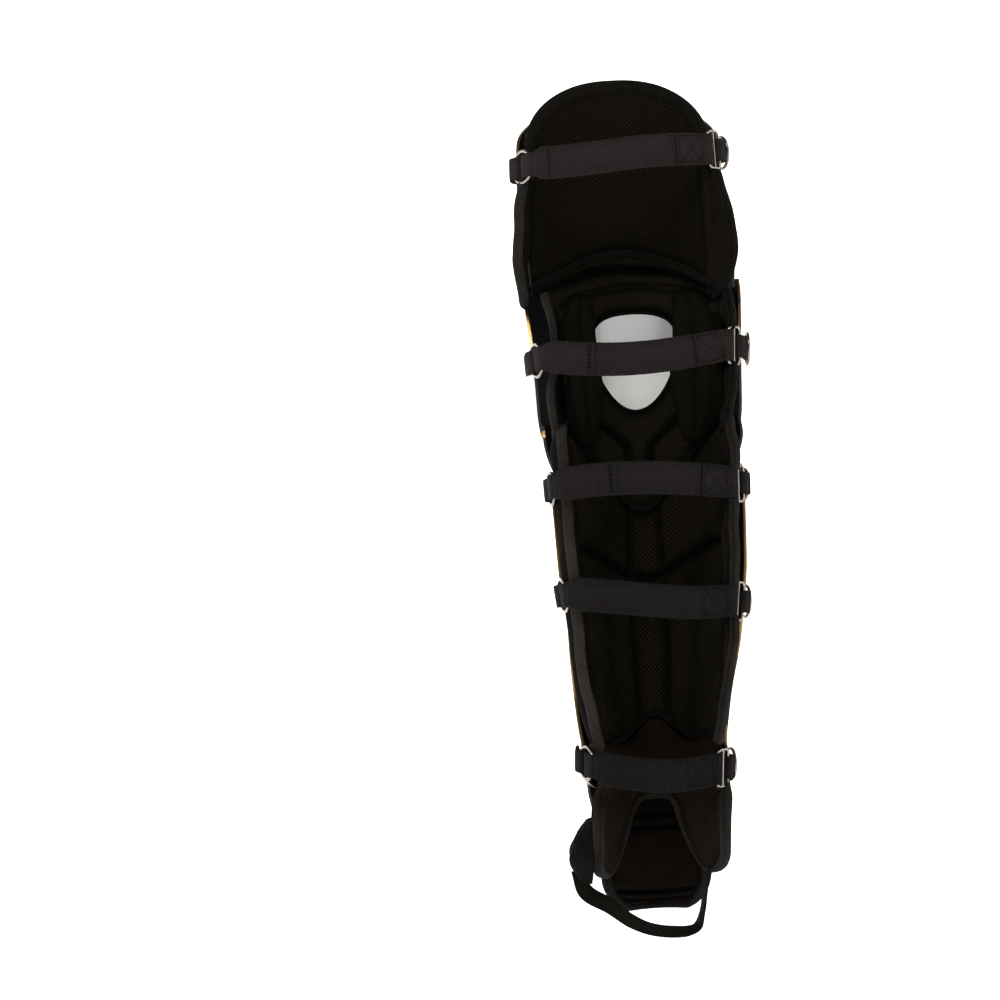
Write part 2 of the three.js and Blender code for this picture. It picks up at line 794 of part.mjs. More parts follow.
// A tab: webbing doubled round a wire, its two plies lying on the plate. A step that
// falls on the one before it is left out.
function tab(name, { lay, edge, up, rear, out }, z, wire, thickness, reach) {
  const shareStep = (0.1 * tabLength) / lay(edge, z, 0).distanceTo(lay(edge - 0.1, z, 0)) / 3;
  const flat = (tabThickness + plyGap) / 2;
  const onPlate = (lift, count) =>
    Array.from({ length: count }, (_, k) => {
      const share = edge - k * shareStep;
      const rise = lay(share, z + 8, lift).sub(lay(share, z - 8, lift));
      return { at: lay(share, z, lift), up: rise, width: tabWidth };
    });
  const sizes = { thickness, ply: tabThickness, width: tabWidth, reach };
  const laid = [
    ...onPlate(flat, 4).reverse(),
    ...loopSteps(wire, rear, out, up, sizes),
    ...onPlate(-flat, 3),
  ];
  const apart = (step, k) => k === 0 || step.at.distanceTo(laid[k - 1].at) > tabThickness;
  add(name, band(laid.filter(apart), tabThickness), 'webbing');
}

// The turn from a part's own axes, with Z along its axis and Y up, to the fitting's.
function turnTo(out, up) {
  const basis = new THREE.Matrix4().makeBasis(new THREE.Vector3().crossVectors(up, out), up, out);
  return new THREE.Quaternion().setFromRotationMatrix(basis);
}

function roundedFrame(width, height, radius) {
  const shape = new THREE.Shape();
  const [x, y] = [width / 2, height / 2];
  shape.moveTo(-x + radius, -y);
  shape.lineTo(x - radius, -y);
  shape.absarc(x - radius, -y + radius, radius, -Math.PI / 2, 0);
  shape.lineTo(x, y - radius);
  shape.absarc(x - radius, y - radius, radius, 0, Math.PI / 2);
  shape.lineTo(-x + radius, y);
  shape.absarc(-x + radius, y - radius, radius, Math.PI / 2, Math.PI);
  shape.lineTo(-x, -y + radius);
  shape.absarc(-x + radius, -y + radius, radius, Math.PI, 1.5 * Math.PI);
  return shape;
}

function hookGeometry() {
  const shape = roundedFrame(hookLength, hookHeight, 3);
  const eye = roundedFrame(hookLength - 2 * hookWire, hookHeight - 2 * hookWire, 1.2);
  shape.holes.push(eye);
  const depth = 0.5 * hookWire;
  const geometry = new THREE.ExtrudeGeometry(shape, {
    depth,
    bevelEnabled: true,
    bevelThickness: 0.25 * hookWire,
    bevelSize: 0.25 * hookWire,
    bevelOffset: -0.25 * hookWire,
    bevelSegments: 1,
    curveSegments: 1,
  });
  return geometry.translate(0, 0, -depth / 2);
}

function domeGeometry() {
  const profile = [
    new THREE.Vector2(0, 0),
    new THREE.Vector2(domeRadius, 0),
    new THREE.Vector2(domeRadius, 0.25 * domeHeight),
    new THREE.Vector2(0.8 * domeRadius, 0.7 * domeHeight),
    new THREE.Vector2(0.4 * domeRadius, 0.95 * domeHeight),
    new THREE.Vector2(0, domeHeight),
  ];
  return new THREE.LatheGeometry(profile, 10).rotateX(Math.PI / 2);
}

const ringGeometry = (radius) => new THREE.TorusGeometry(radius, ringWire / 2, 5, ringSides);

function addStrap(strap, number) {
  const inner = fitting(strap, -1, strap.turnIn);
  const outer = fitting(strap, 1, strap.turnOut);

  const frontWire = inner.start.clone().addScaledVector(inner.rear, loopStand(ringWire, tabThickness));
  const ringCentre = frontWire.clone().addScaledVector(inner.rear, ringRadius);
  const rearWire = ringCentre.clone().addScaledVector(inner.rear, ringRadius);
  const ring = add(`ring_inner_${number}`, ringGeometry(ringRadius), 'metal');
  ring.position.copy(ringCentre);
  ring.quaternion.copy(turnTo(inner.out, inner.up));
  const tabReach = ringReach(tabWidth, tabThickness);
  tab(`tab_inner_${number}`, inner, strap.z, frontWire, ringWire, tabReach);

  const hookStand = loopStand(hookWire, tabThickness) + strap.slack;
  const frontBar = outer.start.clone().addScaledVector(outer.rear, hookStand);
  const barSpacing = hookLength - hookWire;
  const rearBar = frontBar.clone().addScaledVector(outer.rear, barSpacing);
  const hook = add(`hook_${number}`, hookGeometry(), 'metal');
  hook.position.copy(frontBar).addScaledVector(outer.rear, barSpacing / 2);
  hook.quaternion.copy(turnTo(outer.out, outer.up));
  tab(`tab_outer_${number}`, outer, strap.z, frontBar, hookWire);

  const seat = outer.edge - 0.16;
  const seatRise = outer.lay(seat, strap.z + 5, 0).sub(outer.lay(seat, strap.z - 5, 0));
  const seatAlong = outer.lay(seat + 0.05, strap.z, 0).sub(outer.lay(seat - 0.05, strap.z, 0));
  const seatOut = new THREE.Vector3().crossVectors(seatRise, seatAlong).normalize();
  const seatAt = outer.lay(seat, strap.z, tabThickness + plyGap);
  const dome = add(`button_${number}`, domeGeometry(), 'metal');
  dome.position.copy(seatAt);
  const seatUp = seatRise.normalize();
  dome.quaternion.copy(turnTo(seatOut, seatUp));
  const outerRing = add(`ring_outer_${number}`, ringGeometry(ringRadius), 'metal');
  outerRing.position.copy(seatAt).addScaledVector(seatOut, ringWire / 2);
  outerRing.quaternion.copy(turnTo(seatOut, seatUp));

  addWebbing(strap, number, { inner, outer, rearWire, rearBar });
}

// The strap itself: it doubles back from the ring, crosses behind the leg and is sewn
// round the hook's rear bar.
function addWebbing(strap, number, { inner, outer, rearWire, rearBar }) {
  const flat = (strapThickness + plyGap) / 2;
  const turn = (strapTurn * Math.PI) / 180;
  const awayLeft = inner.rear.clone().applyAxisAngle(inner.up, turn);
  const awayRight = outer.rear.clone().applyAxisAngle(outer.up, -0.75 * turn);
  const stand = (wire) => loopStand(wire, strapThickness);
  const left = rearWire.clone().addScaledVector(inner.rear, stand(ringWire));
  const right = rearBar.clone().addScaledVector(awayRight, stand(hookWire));
  const handle = strap.bow / (0.75 * Math.cos(turn));
  const drop = new THREE.Vector3(0, 0, -strap.sag / 0.75);
  const bend = left.clone().addScaledVector(inner.rear, bendLength);
  const free = bend.clone().addScaledVector(awayLeft, bendLength);
  const route = new THREE.CurvePath();
  route.add(new THREE.QuadraticBezierCurve3(left, bend, free));
  route.add(
    new THREE.CubicBezierCurve3(
      free,
      free.clone().addScaledVector(awayLeft, handle).add(drop),
      right.clone().addScaledVector(awayRight, handle).add(drop),
      right,
    ),
  );
  const up = new THREE.Vector3(0, 0, 1);
  const stepAt = (t, lift) => {
    const ends = new THREE.Vector3();
    ends.addScaledVector(inner.up, 1 - smooth(0, 0.15, t));
    ends.addScaledVector(outer.up, smooth(0.85, 1, t));
    ends.addScaledVector(up, smooth(0, 0.15, t) * (1 - smooth(0.85, 1, t)));
    const along = route.getTangentAt(t);
    const rear = new THREE.Vector3().crossVectors(along, up).normalize();
    const full = mix(strapWidth, sewnWidth, smooth(0.9, 0.98, t));
    return {
      at: route.getPointAt(t).addScaledVector(rear, lift),
      up: ends,
      width: mix(strapEndWidth, full, smooth(0, 0.16, t)),
    };
  };
  const ply = (from, to, count, lift) =>
    Array.from({ length: count }, (_, k) => stepAt(mix(from, to, k / (count - 1)), lift));
  const outRight = new THREE.Vector3().crossVectors(awayRight, up).negate().normalize();
  const atRing = {
    thickness: ringWire,
    ply: strapThickness,
    width: strapEndWidth,
    reach: ringReach(strapEndWidth, strapThickness),
  };
  const atHook = { thickness: hookWire, ply: strapThickness, width: sewnWidth };
  const sewn = sewnLength / route.getLength();
  const steps = [
    ...ply(strap.fold, 0.01, 3 + Math.round(8 * strap.fold), flat),
    ...loopSteps(rearWire, inner.rear.clone().negate(), inner.out, inner.up, atRing),
    ...ply(0.01, 0.99, 12, -flat),
    ...loopSteps(rearBar, awayRight.clone().negate(), outRight, outer.up, atHook).reverse(),
    ...ply(0.99, 1 - sewn, 3, flat),
  ];
  add(`strap_${number}`, band(steps, strapThickness), 'webbing');
}

// The soft pocket on the inner side of the ankle, from which the foot strap comes.
const pocketRows = [
  { b: 0, low: 0.86, high: 1.02, bulge: 0.72 },
  { b: 0.3, low: 0.78, high: 1.12, bulge: 1 },
  { b: 0.65, low: 0.76, high: 1.16, bulge: 0.9 },
  { b: 1, low: 0.82, high: 1.14, bulge: 0.35 },
];
const pocketInner = anklePadThickness + layerGap;

function stirrupPocket() {
  const outline = (a, b) => {
    const low = through(pocketRows, 'b', 'low', b);
    const high = through(pocketRows, 'b', 'high', b);
    return { share: -mix(low, high, a), z: mix(-pocketBottom, -pocketTop, b) };
  };
  const swell = (a) => 0.35 + 0.65 * Math.sin(Math.PI * a);
  const outer = (share, z, a, b) =>
    pocketInner + pocketBulge * swell(a) * through(pocketRows, 'b', 'bulge', b);
  add('stirrup_pocket', plate(outline, () => pocketInner, outer, 5, 4), 'binding');
}

// The strap under the foot, from the pocket's mouth round to the other side of the ankle.
// across is the height and side the width that its steps take, with twist in degrees.
function stirrup() {
  const left = place(-0.94, -pocketBottom - 1, pocketInner + 0.5 * pocketBulge);
  const rightShare = 0.9;
  const lay = (z) => place(rightShare, z, anklePadThickness + layerGap + stirrupThickness / 2);
  const low = -stirrupDrop;
  const y = left.y;
  const rows = [
    { at: left, twist: 20 },
    { at: new THREE.Vector3(-0.98 * ankleHalf, y, low + 19), twist: 14 },
    { at: new THREE.Vector3(-0.4 * ankleHalf, y, low + 6), twist: 6 },
    { at: new THREE.Vector3(0.35 * ankleHalf, y, low), twist: 0 },
    { at: new THREE.Vector3(0.8 * ankleHalf, y, low + 8), twist: 0 },
    { at: lay(-1.02 * ankleLobeDrop), twist: 0 },
    { at: lay(-0.93 * ankleLobeDrop), twist: 0 },
  ];
  const route = new THREE.CatmullRomCurve3(rows.map((row) => row.at), false, 'centripetal');
  const count = 16;
  const steps = Array.from({ length: count + 1 }, (_, k) => {
    const t = k / count;
    const row = Math.min(rows.length - 2, Math.floor(t * (rows.length - 1)));
    const part = t * (rows.length - 1) - row;
    const twist = (mix(rows[row].twist, rows[row + 1].twist, part) * Math.PI) / 180;
    const up = new THREE.Vector3(0, Math.cos(twist), Math.sin(twist));
    return { at: route.getPoint(t), up, width: stirrupWidth };
  });
  add('stirrup_strap', band(steps, stirrupThickness), 'webbing');
}

thighPad();
kneeFold();
kneePad();
kneeColumns();
shinPad();
anklePad();
toePad();
for (const [side, name] of [[-1, 'left'], [1, 'right']]) {
  wing(`thigh_wing_${name}`, side, thighWing);
  wing(`knee_wing_${name}`, side, kneeWing);
  wing(`shin_wing_${name}`, side, shinWing);
}
for (const name of Object.keys(shells)) addShell(name);
straps.forEach((strap, i) => addStrap({ ...strap, ...strapEnds[i] }, i + 1));
stirrupPocket();
stirrup();

export default guard;
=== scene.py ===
# %% [markdown]
# A catcher's leg guard, seen from the leg side. Hard plates cover the front of the leg.
# Behind them lie mesh-covered pads, bound side wings, five straps and a foot strap.
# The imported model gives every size. This script dresses it piece by piece.

# %% Load the frame
import math

import bpy
import numpy as np
from mathutils import Matrix, Vector
from mathutils.kdtree import KDTree


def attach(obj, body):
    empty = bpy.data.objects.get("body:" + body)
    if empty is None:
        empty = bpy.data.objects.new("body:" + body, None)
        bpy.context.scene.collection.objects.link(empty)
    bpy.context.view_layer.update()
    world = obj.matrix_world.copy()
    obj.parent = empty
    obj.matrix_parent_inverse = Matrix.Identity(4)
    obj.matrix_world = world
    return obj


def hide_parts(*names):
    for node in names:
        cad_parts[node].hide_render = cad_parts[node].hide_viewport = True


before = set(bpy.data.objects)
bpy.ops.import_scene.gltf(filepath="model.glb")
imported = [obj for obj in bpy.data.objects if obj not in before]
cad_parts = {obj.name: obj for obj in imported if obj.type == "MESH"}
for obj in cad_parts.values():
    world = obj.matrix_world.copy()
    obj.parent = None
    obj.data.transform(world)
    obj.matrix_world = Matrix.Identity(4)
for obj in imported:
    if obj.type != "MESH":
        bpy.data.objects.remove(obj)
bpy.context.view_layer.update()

MM = 0.001

# %% [markdown]
# The camera stands behind the wearer, a little to the left of the guard, and is rolled
# three degrees because the guard leans in the picture. A long lens keeps the sides
# almost parallel, as in a product photograph.

# %% Camera
CAMERA_DISTANCE = 2.3
WIDTH_IN_VIEW = 0.79
CENTRE_OF_VIEW = (-0.1164, -0.1078)
CAMERA_ROLL = math.radians(-3.0)
CAMERA_TURN = math.radians(-1.2)
SENSOR = 36.0

camera_data = bpy.data.cameras.new("camera")
camera_data.sensor_width = SENSOR
camera_data.lens = SENSOR * CAMERA_DISTANCE / WIDTH_IN_VIEW
camera_data.clip_end = 20.0
camera = bpy.data.objects.new("camera", camera_data)
bpy.context.scene.collection.objects.link(camera)
stand = Matrix.Translation((CENTRE_OF_VIEW[0], -CAMERA_DISTANCE, CENTRE_OF_VIEW[1]))
aim = Matrix.Rotation(math.radians(90), 4, "X") @ Matrix.Rotation(CAMERA_ROLL, 4, "Z")
camera.matrix_world = Matrix.Rotation(CAMERA_TURN, 4, "Z") @ stand @ aim
bpy.context.scene.camera = camera
print("lens", round(camera_data.lens, 1), "mm")

# %% [markdown]
# Every soft piece follows the leg, so one surface carries them all. It is written as a
# table of half ellipses, one for each height: half is the half width, front the shin
# line and back the line where the sides begin to run straight back. share runs round
# the leg, from 0 at the shin line to 1 and -1 at the sides. Lengths are millimetres.

# %% The leg's surface
THIGH_RISE = 222.0
TOE_DROP = 455.0
THIGH_HALF, KNEE_HALF, CALF_HALF, ANKLE_HALF = 67.0, 63.0, 57.0, 40.0
THIGH_FRONT, KNEE_FRONT, SHIN_FRONT, INSTEP_FRONT = 32.0, 70.0, 52.0, 102.0
KNEE_BACK, CALF_BACK = 14.0, 28.0
STRAIGHT_REACH = 60.0

STATIONS = np.array([
    (-1.03 * TOE_DROP, 1.02 * ANKLE_HALF, 1.05 * INSTEP_FRONT, 8),
    (-0.93 * TOE_DROP, 1.03 * ANKLE_HALF, 0.76 * INSTEP_FRONT, -8),
    (-0.86 * TOE_DROP, 1.01 * ANKLE_HALF, 1.16 * SHIN_FRONT, -0.57 * CALF_BACK),
    (-0.78 * TOE_DROP, ANKLE_HALF, 1.02 * SHIN_FRONT, -0.7 * CALF_BACK),
    (-0.7 * TOE_DROP, 1.06 * ANKLE_HALF, SHIN_FRONT, -0.86 * CALF_BACK),
    (-0.62 * TOE_DROP, 0.83 * CALF_HALF, 1.01 * SHIN_FRONT, -0.96 * CALF_BACK),
    (-0.49 * TOE_DROP, 0.95 * CALF_HALF, 1.06 * SHIN_FRONT, -CALF_BACK),
    (-0.33 * TOE_DROP, CALF_HALF, 1.14 * SHIN_FRONT, -0.93 * CALF_BACK),
    (-0.17 * TOE_DROP, 0.95 * KNEE_HALF, 0.95 * KNEE_FRONT, -1.4 * KNEE_BACK),
    (0.0, KNEE_HALF, KNEE_FRONT, -KNEE_BACK),
    (0.37 * THIGH_RISE, 1.02 * THIGH_HALF, 0.86 * KNEE_FRONT, -0.6 * KNEE_BACK),
    (0.73 * THIGH_RISE, THIGH_HALF, 1.45 * THIGH_FRONT, -0.2 * KNEE_BACK),
    (1.02 * THIGH_RISE, 0.96 * THIGH_HALF, THIGH_FRONT, 0.1 * KNEE_BACK),
])


def mix(a, b, t):
    return a + (b - a) * t


def smooth(low, high, value):
    t = np.clip((np.asarray(value, float) - low) / (high - low), 0, 1)
    return t * t * (3 - 2 * t)


def crowded(count):
    """Steps from 0 to 1 that stand closer together towards both ends."""
    return 0.5 - 0.5 * np.cos(np.linspace(0, math.pi, count))


def through(xs, ys, at):
    """A smooth curve through the points of a short table."""
    xs, ys, at = np.asarray(xs, float), np.asarray(ys, float), np.asarray(at, float)
    slope = np.empty_like(ys)
    slope[1:-1] = (ys[2:] - ys[:-2]) / (xs[2:] - xs[:-2])
    slope[0] = (ys[1] - ys[0]) / (xs[1] - xs[0])
    slope[-1] = (ys[-1] - ys[-2]) / (xs[-1] - xs[-2])
    at = np.clip(at, xs[0], xs[-1])
    i = np.clip(np.searchsorted(xs, at, side="right") - 1, 0, len(xs) - 2)
    span = xs[i + 1] - xs[i]
    t = (at - xs[i]) / span
    rise = (3 - 2 * t) * t * t
    bend = span * (slope[i] * t * (1 - t) ** 2 - slope[i + 1] * t * t * (1 - t))
    return mix(ys[i], ys[i + 1], rise) + bend


def leg_side(share, z):
    share, z = np.broadcast_arrays(np.asarray(share, float), np.asarray(z, float))
    half, front, back = (through(STATIONS[:, 0], STATIONS[:, k], z) for k in (1, 2, 3))
    angle = np.minimum(1, np.abs(share)) * math.pi / 2
    behind = np.maximum(0, np.abs(share) - 1) * STRAIGHT_REACH
    x = np.sign(share) * half * np.sin(angle)
    y = back + (front - back) * np.cos(angle) - behind
    return np.stack([x, y, z], axis=-1)


def unit(v):
    return v / np.maximum(1e-9, np.linalg.norm(v, axis=-1, keepdims=True))


def outward(share, z):
    across = leg_side(share + 0.004, z) - leg_side(share - 0.004, z)
    rise = leg_side(share, z + 0.8) - leg_side(share, z - 0.8)
    return -unit(np.cross(across, rise))


def place(share, z, offset):
    share, z, offset = np.broadcast_arrays(
        np.asarray(share, float), np.asarray(z, float), np.asarray(offset, float))
    return leg_side(share, z) + outward(share, z) * offset[..., None]


def share_at(x, z, offset=0.0):
    half = through(STATIONS[:, 0], STATIONS[:, 1], z) + offset
    return np.arcsin(np.clip(x / half, -1, 1)) * 2 / math.pi


print("thigh pad top", leg_side(0, THIGH_RISE).round(1))

# %% [markdown]
# Two ways of making a mesh serve nearly all the pieces. A slab is a pad or a plate: two
# grids of points, one on the leg side and one behind, closed at the rim. A sweep carries
# a small profile along a path, for binding tape, webbing and wire. Both lay a UV map in
# metres along the cloth, so that weaves keep their real size and follow each piece.

# %% Mesh helpers
BODY = "root"


def mesh_object(name, points, faces, uvs):
    mesh = bpy.data.meshes.new(name)
    mesh.from_pydata((np.asarray(points) * MM).tolist(), [], faces)
    layer = mesh.uv_layers.new(name="cloth")
    loops = np.empty(len(mesh.loops), dtype=np.int32)
    mesh.loops.foreach_get("vertex_index", loops)
    layer.data.foreach_set("uv", (np.asarray(uvs)[loops] * MM).astype(np.float32).ravel())
    mesh.polygons.foreach_set("use_smooth", np.ones(len(mesh.polygons), dtype=bool))
    mesh.update()
    piece = bpy.data.objects.new(name, mesh)
    bpy.context.scene.collection.objects.link(piece)
    return piece


def grid_faces(columns, rows, start=0, flip=False):
    faces = []
    for j in range(rows):
        for i in range(columns):
            a = start + j * (columns + 1) + i
            quad = (a, a + 1, a + columns + 2, a + columns + 1)
            faces.append(quad[::-1] if flip else quad)
    return faces


def along_lengths(points, axis):
    steps = np.linalg.norm(np.diff(points, axis=axis), axis=-1)
    zero = np.zeros_like(np.take(steps, [0], axis=axis))
    return np.cumsum(np.concatenate([zero, steps], axis=axis), axis=axis)


def slab(name, near, far):
    """A closed pad from two grids of points, near the leg and far from it."""
    rows, columns = near.shape[0] - 1, near.shape[1] - 1
    count = (rows + 1) * (columns + 1)
    points = np.concatenate([near.reshape(-1, 3), far.reshape(-1, 3)])
    u = along_lengths(near, 1)
    u -= u[:, [columns // 2]]
    v = np.broadcast_to(near[:, [columns // 2], 2], u.shape)
    uv = np.stack([u, v], axis=-1).reshape(-1, 2)
    faces = grid_faces(columns, rows) + grid_faces(columns, rows, count, True)
    rim = [(j * (columns + 1), (j + 1) * (columns + 1)) for j in range(rows)]
    rim += [(rows * (columns + 1) + i, rows * (columns + 1) + i + 1) for i in range(columns)]
    rim += [((j + 1) * (columns + 1) + columns, j * (columns + 1) + columns) for j in range(rows)]
    rim += [(i + 1, i) for i in range(columns)]
    faces += [(a, b, b + count, a + count) for a, b in rim]
    return closed(mesh_object(name, points, faces, np.concatenate([uv, uv])))


def closed(piece):
    """Turns a closed piece's faces outwards, with its doubles merged first."""
    bpy.ops.object.select_all(action="DESELECT")
    bpy.context.view_layer.objects.active = piece
    piece.select_set(True)
    bpy.ops.object.mode_set(mode="EDIT")
    bpy.ops.mesh.select_all(action="SELECT")
    bpy.ops.mesh.remove_doubles(threshold=1e-6)
    bpy.ops.mesh.normals_make_consistent(inside=False)
    bpy.ops.object.mode_set(mode="OBJECT")
    piece.select_set(False)
    return piece


def frames_along(path, normal, loop=False):
    """Unit directions across a path and off the surface that it lies on."""
    if loop:
        run = unit(np.roll(path, -1, axis=0) - np.roll(path, 1, axis=0))
    else:
        run = unit(np.gradient(path, axis=0))
    side = unit(np.cross(normal, run))
    return side, unit(np.cross(run, side))


def sweep(name, path, side, normal, profile, loop=False, scale=None):
    """Carries a closed profile along a path; profile points are (across, off) pairs."""
    path, profile = np.asarray(path, float), np.asarray(profile, float)
    steps, corners = len(path), len(profile)
    scale = np.ones((steps, 2)) if scale is None else np.asarray(scale, float)
    points = (path[:, None] + side[:, None] * (profile[None, :, 0, None] * scale[:, None, 0, None])
              + normal[:, None] * (profile[None, :, 1, None] * scale[:, None, 1, None]))
    length = along_lengths(path, 0)
    round_ = along_lengths(np.concatenate([profile, profile[:1]]), 0)[:-1]
    uv = np.stack(np.broadcast_arrays(length[:, None], round_[None]), axis=-1).reshape(-1, 2)
    faces = []
    for i in range(steps if loop else steps - 1):
        for k in range(corners):
            a, b = i * corners + k, i * corners + (k + 1) % corners
            c, d = (i + 1) % steps * corners + (k + 1) % corners, (i + 1) % steps * corners + k
            faces.append((a, b, c, d))
    if not loop:
        faces.append(tuple(range(corners))[::-1])
        faces.append(tuple((steps - 1) * corners + k for k in range(corners)))
    return closed(mesh_object(name, points.reshape(-1, 3), faces, uv))


def join(name, pieces):
    bpy.ops.object.select_all(action="DESELECT")
    for piece in pieces:
        piece.select_set(True)
    bpy.context.view_layer.objects.active = pieces[0]
    bpy.ops.object.join()
    pieces[0].name = name
    pieces[0].select_set(False)
    return pieces[0]


def store_painted_shade(piece, points, values):
    """Stores painted shade: how deep in a seam each vertex lies, taken from the nearest of the points."""
    points = np.asarray(points, float).reshape(-1, 3) * MM
    values = np.asarray(values, float).reshape(-1)
    tree = KDTree(len(points))
    for k, point in enumerate(points):
        tree.insert(point, k)
    tree.balance()
    # The seam attribute holds painted shade, which darkens the cloth's colour.
    layer = piece.data.attributes.new("seam", "FLOAT", "POINT")
    found = [values[tree.find(vertex.co)[1]] for vertex in piece.data.vertices]
    layer.data.foreach_set("value", np.clip(found, 0, 1).astype(np.float32))


def finish_piece(piece, material, node):
    """Names the piece after the CAD node that it stands for, and hands it to the frame."""
    piece.name = "look_" + node
    if material is not None:
        piece.data.materials.clear()
        piece.data.materials.append(material)
    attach(piece, BODY)
    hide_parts(node)


def near_path(x, z, path):
    """Distance in the x, z plane from each point to a path of (x, z) points."""
    best = np.full(np.shape(x), 1e9)
    for (x0, z0), (x1, z1) in zip(path[:-1], path[1:]):
        dx, dz = x1 - x0, z1 - z0
        t = np.clip(((x - x0) * dx + (z - z0) * dz) / (dx * dx + dz * dz), 0, 1)
        best = np.minimum(best, np.hypot(x - x0 - t * dx, z - z0 - t * dz))
    return best


# %% [markdown]
# The finishes share a few effects. Each effect is one node group with named inputs: a
# mesh of holes on the diagonal, herringbone tape, ribbed webbing and a soft mottling of
# lint and wear. Positions come from the cloth's own UV map, in millimetres, so one
# number sets the real pitch of each weave.

# %% Node helpers
def feed(tree, socket, value):
    if isinstance(value, bpy.types.NodeSocket):
        tree.links.new(value, socket)
    else:
        socket.default_value = value


def calc(tree, operation, *values):
    node = tree.nodes.new("ShaderNodeMath")
    node.operation = operation
    for socket, value in zip(node.inputs, values):
        feed(tree, socket, value)
    return node.outputs[0]


def ramp(tree, value, low, high, to_low=0.0, to_high=1.0):
    node = tree.nodes.new("ShaderNodeMapRange")
    node.interpolation_type = "SMOOTHSTEP"
    for socket, entry in zip(node.inputs, (value, low, high, to_low, to_high)):
        feed(tree, socket, entry)
    return node.outputs[0]


def blend(tree, factor, first, second):
    node = tree.nodes.new("ShaderNodeMix")
    node.data_type = "RGBA"
    feed(tree, node.inputs["Factor"], factor)
    feed(tree, node.inputs[6], first)
    feed(tree, node.inputs[7], second)
    return node.outputs[2]


def noise(tree, position, scale, detail=3.0, roughness=0.55):
    node = tree.nodes.new("ShaderNodeTexNoise")
    feed(tree, node.inputs["Vector"], position)
    node.inputs["Scale"].default_value = scale
    node.inputs["Detail"].default_value = detail
    node.inputs["Roughness"].default_value = roughness
    return node.outputs["Fac"]


def effect(name, inputs, outputs):
    group = bpy.data.node_groups.new(name, "ShaderNodeTree")
    for label, default in inputs:
        kind = "NodeSocketVector" if label == "Position" else "NodeSocketFloat"
        socket = group.interface.new_socket(label, in_out="INPUT", socket_type=kind)
        if default is not None:
            socket.default_value = default
    for label in outputs:
        group.interface.new_socket(label, in_out="OUTPUT", socket_type="NodeSocketFloat")
    entry = group.nodes.new("NodeGroupInput").outputs
    result = group.nodes.new("NodeGroupOutput").inputs
    return group, entry, result


def split(tree, position):
    node = tree.nodes.new("ShaderNodeSeparateXYZ")
    tree.links.new(position, node.inputs[0])
    return node.outputs


# %% The weaves
def diagonal_mesh():
    """Round holes on the diagonal, as in spacer mesh; Stretch lengthens them upwards."""
    group, entry, result = effect(
        "diagonal mesh", [("Position", None), ("Pitch", 3.0), ("Stretch", 1.0), ("Open", 0.35)],
        ["Hole", "Height"])
    x, y, _ = split(group, entry["Position"])
    turn = calc(group, "DIVIDE", math.pi, entry["Pitch"])
    across = calc(group, "SINE", calc(group, "MULTIPLY", x, turn))
    up = calc(group, "SINE", calc(group, "DIVIDE", calc(group, "MULTIPLY", y, turn), entry["Stretch"]))
    wave = calc(group, "MULTIPLY", across, up)
    edge = calc(group, "SUBTRACT", 1.0, entry["Open"])
    hole = ramp(group, wave, calc(group, "SUBTRACT", edge, 0.18), calc(group, "ADD", edge, 0.12))
    group.links.new(hole, result["Hole"])
    thread = calc(group, "SINE", calc(group, "MULTIPLY", calc(group, "ADD", x, y), 7.0))
    height = calc(group, "SUBTRACT", calc(group, "MULTIPLY", thread, 0.08), hole)
    group.links.new(height, result["Height"])
    return group


def herringbone():
    """Tape woven in zigzags: Width is the width of one zigzag, Pitch that of a thread."""
    group, entry, result = effect(
        "herringbone", [("Position", None), ("Pitch", 1.1), ("Width", 3.0)], ["Thread"])
    x, y, _ = split(group, entry["Position"])
    zigzag = calc(group, "PINGPONG", y, entry["Width"])
    turn = calc(group, "DIVIDE", 2 * math.pi, entry["Pitch"])
    wave = calc(group, "SINE", calc(group, "MULTIPLY", calc(group, "ADD", x, zigzag), turn))
    group.links.new(ramp(group, wave, -1.0, 1.0), result["Thread"])
    return group


def ribs():
    """Webbing: ribs across the band, with the fine twist of its long threads."""
    group, entry, result = effect(
        "ribs", [("Position", None), ("Pitch", 1.5), ("Fine", 0.7)], ["Rib"])
    x, y, _ = split(group, entry["Position"])
    rib = calc(group, "SINE", calc(group, "MULTIPLY", x, calc(group, "DIVIDE", 2 * math.pi, entry["Pitch"])))
    fine = calc(group, "SINE", calc(group, "MULTIPLY", y, calc(group, "DIVIDE", 2 * math.pi, entry["Fine"])))
    both = calc(group, "MULTIPLY_ADD", fine, 0.35, rib)
    group.links.new(ramp(group, both, -1.35, 1.35), result["Rib"])
    return group


def lint():
    """Soft mottling in two sizes, for wear, dust and uneven dye."""
    group, entry, result = effect(
        "lint", [("Position", None), ("Broad", 0.02), ("Fine", 0.6)], ["Mottle", "Fleck"])
    broad = noise(group, entry["Position"], 1.0, 4.0, 0.6)
    group.links.new(entry["Broad"], broad.node.inputs["Scale"])
    fine = noise(group, entry["Position"], 1.0, 2.0, 0.7)
    group.links.new(entry["Fine"], fine.node.inputs["Scale"])
    group.links.new(ramp(group, broad, 0.3, 0.7), result["Mottle"])
    group.links.new(ramp(group, fine, 0.55, 0.8), result["Fleck"])
    return group


WEAVES = {"mesh": diagonal_mesh(), "herringbone": herringbone(), "ribs": ribs(), "lint": lint()}
print("effects:", ", ".join(WEAVES))


# %% Cloth finishes
def new_material(name):
    material = bpy.data.materials.new(name)
    material.use_nodes = True
    tree = material.node_tree
    return material, tree, tree.nodes["Principled BSDF"]


def in_millimetres(tree, metres):
    mapping = tree.nodes.new("ShaderNodeMapping")
    mapping.inputs["Scale"].default_value = (1 / MM, 1 / MM, 1 / MM)
    tree.links.new(metres, mapping.inputs[0])
    return mapping.outputs[0]


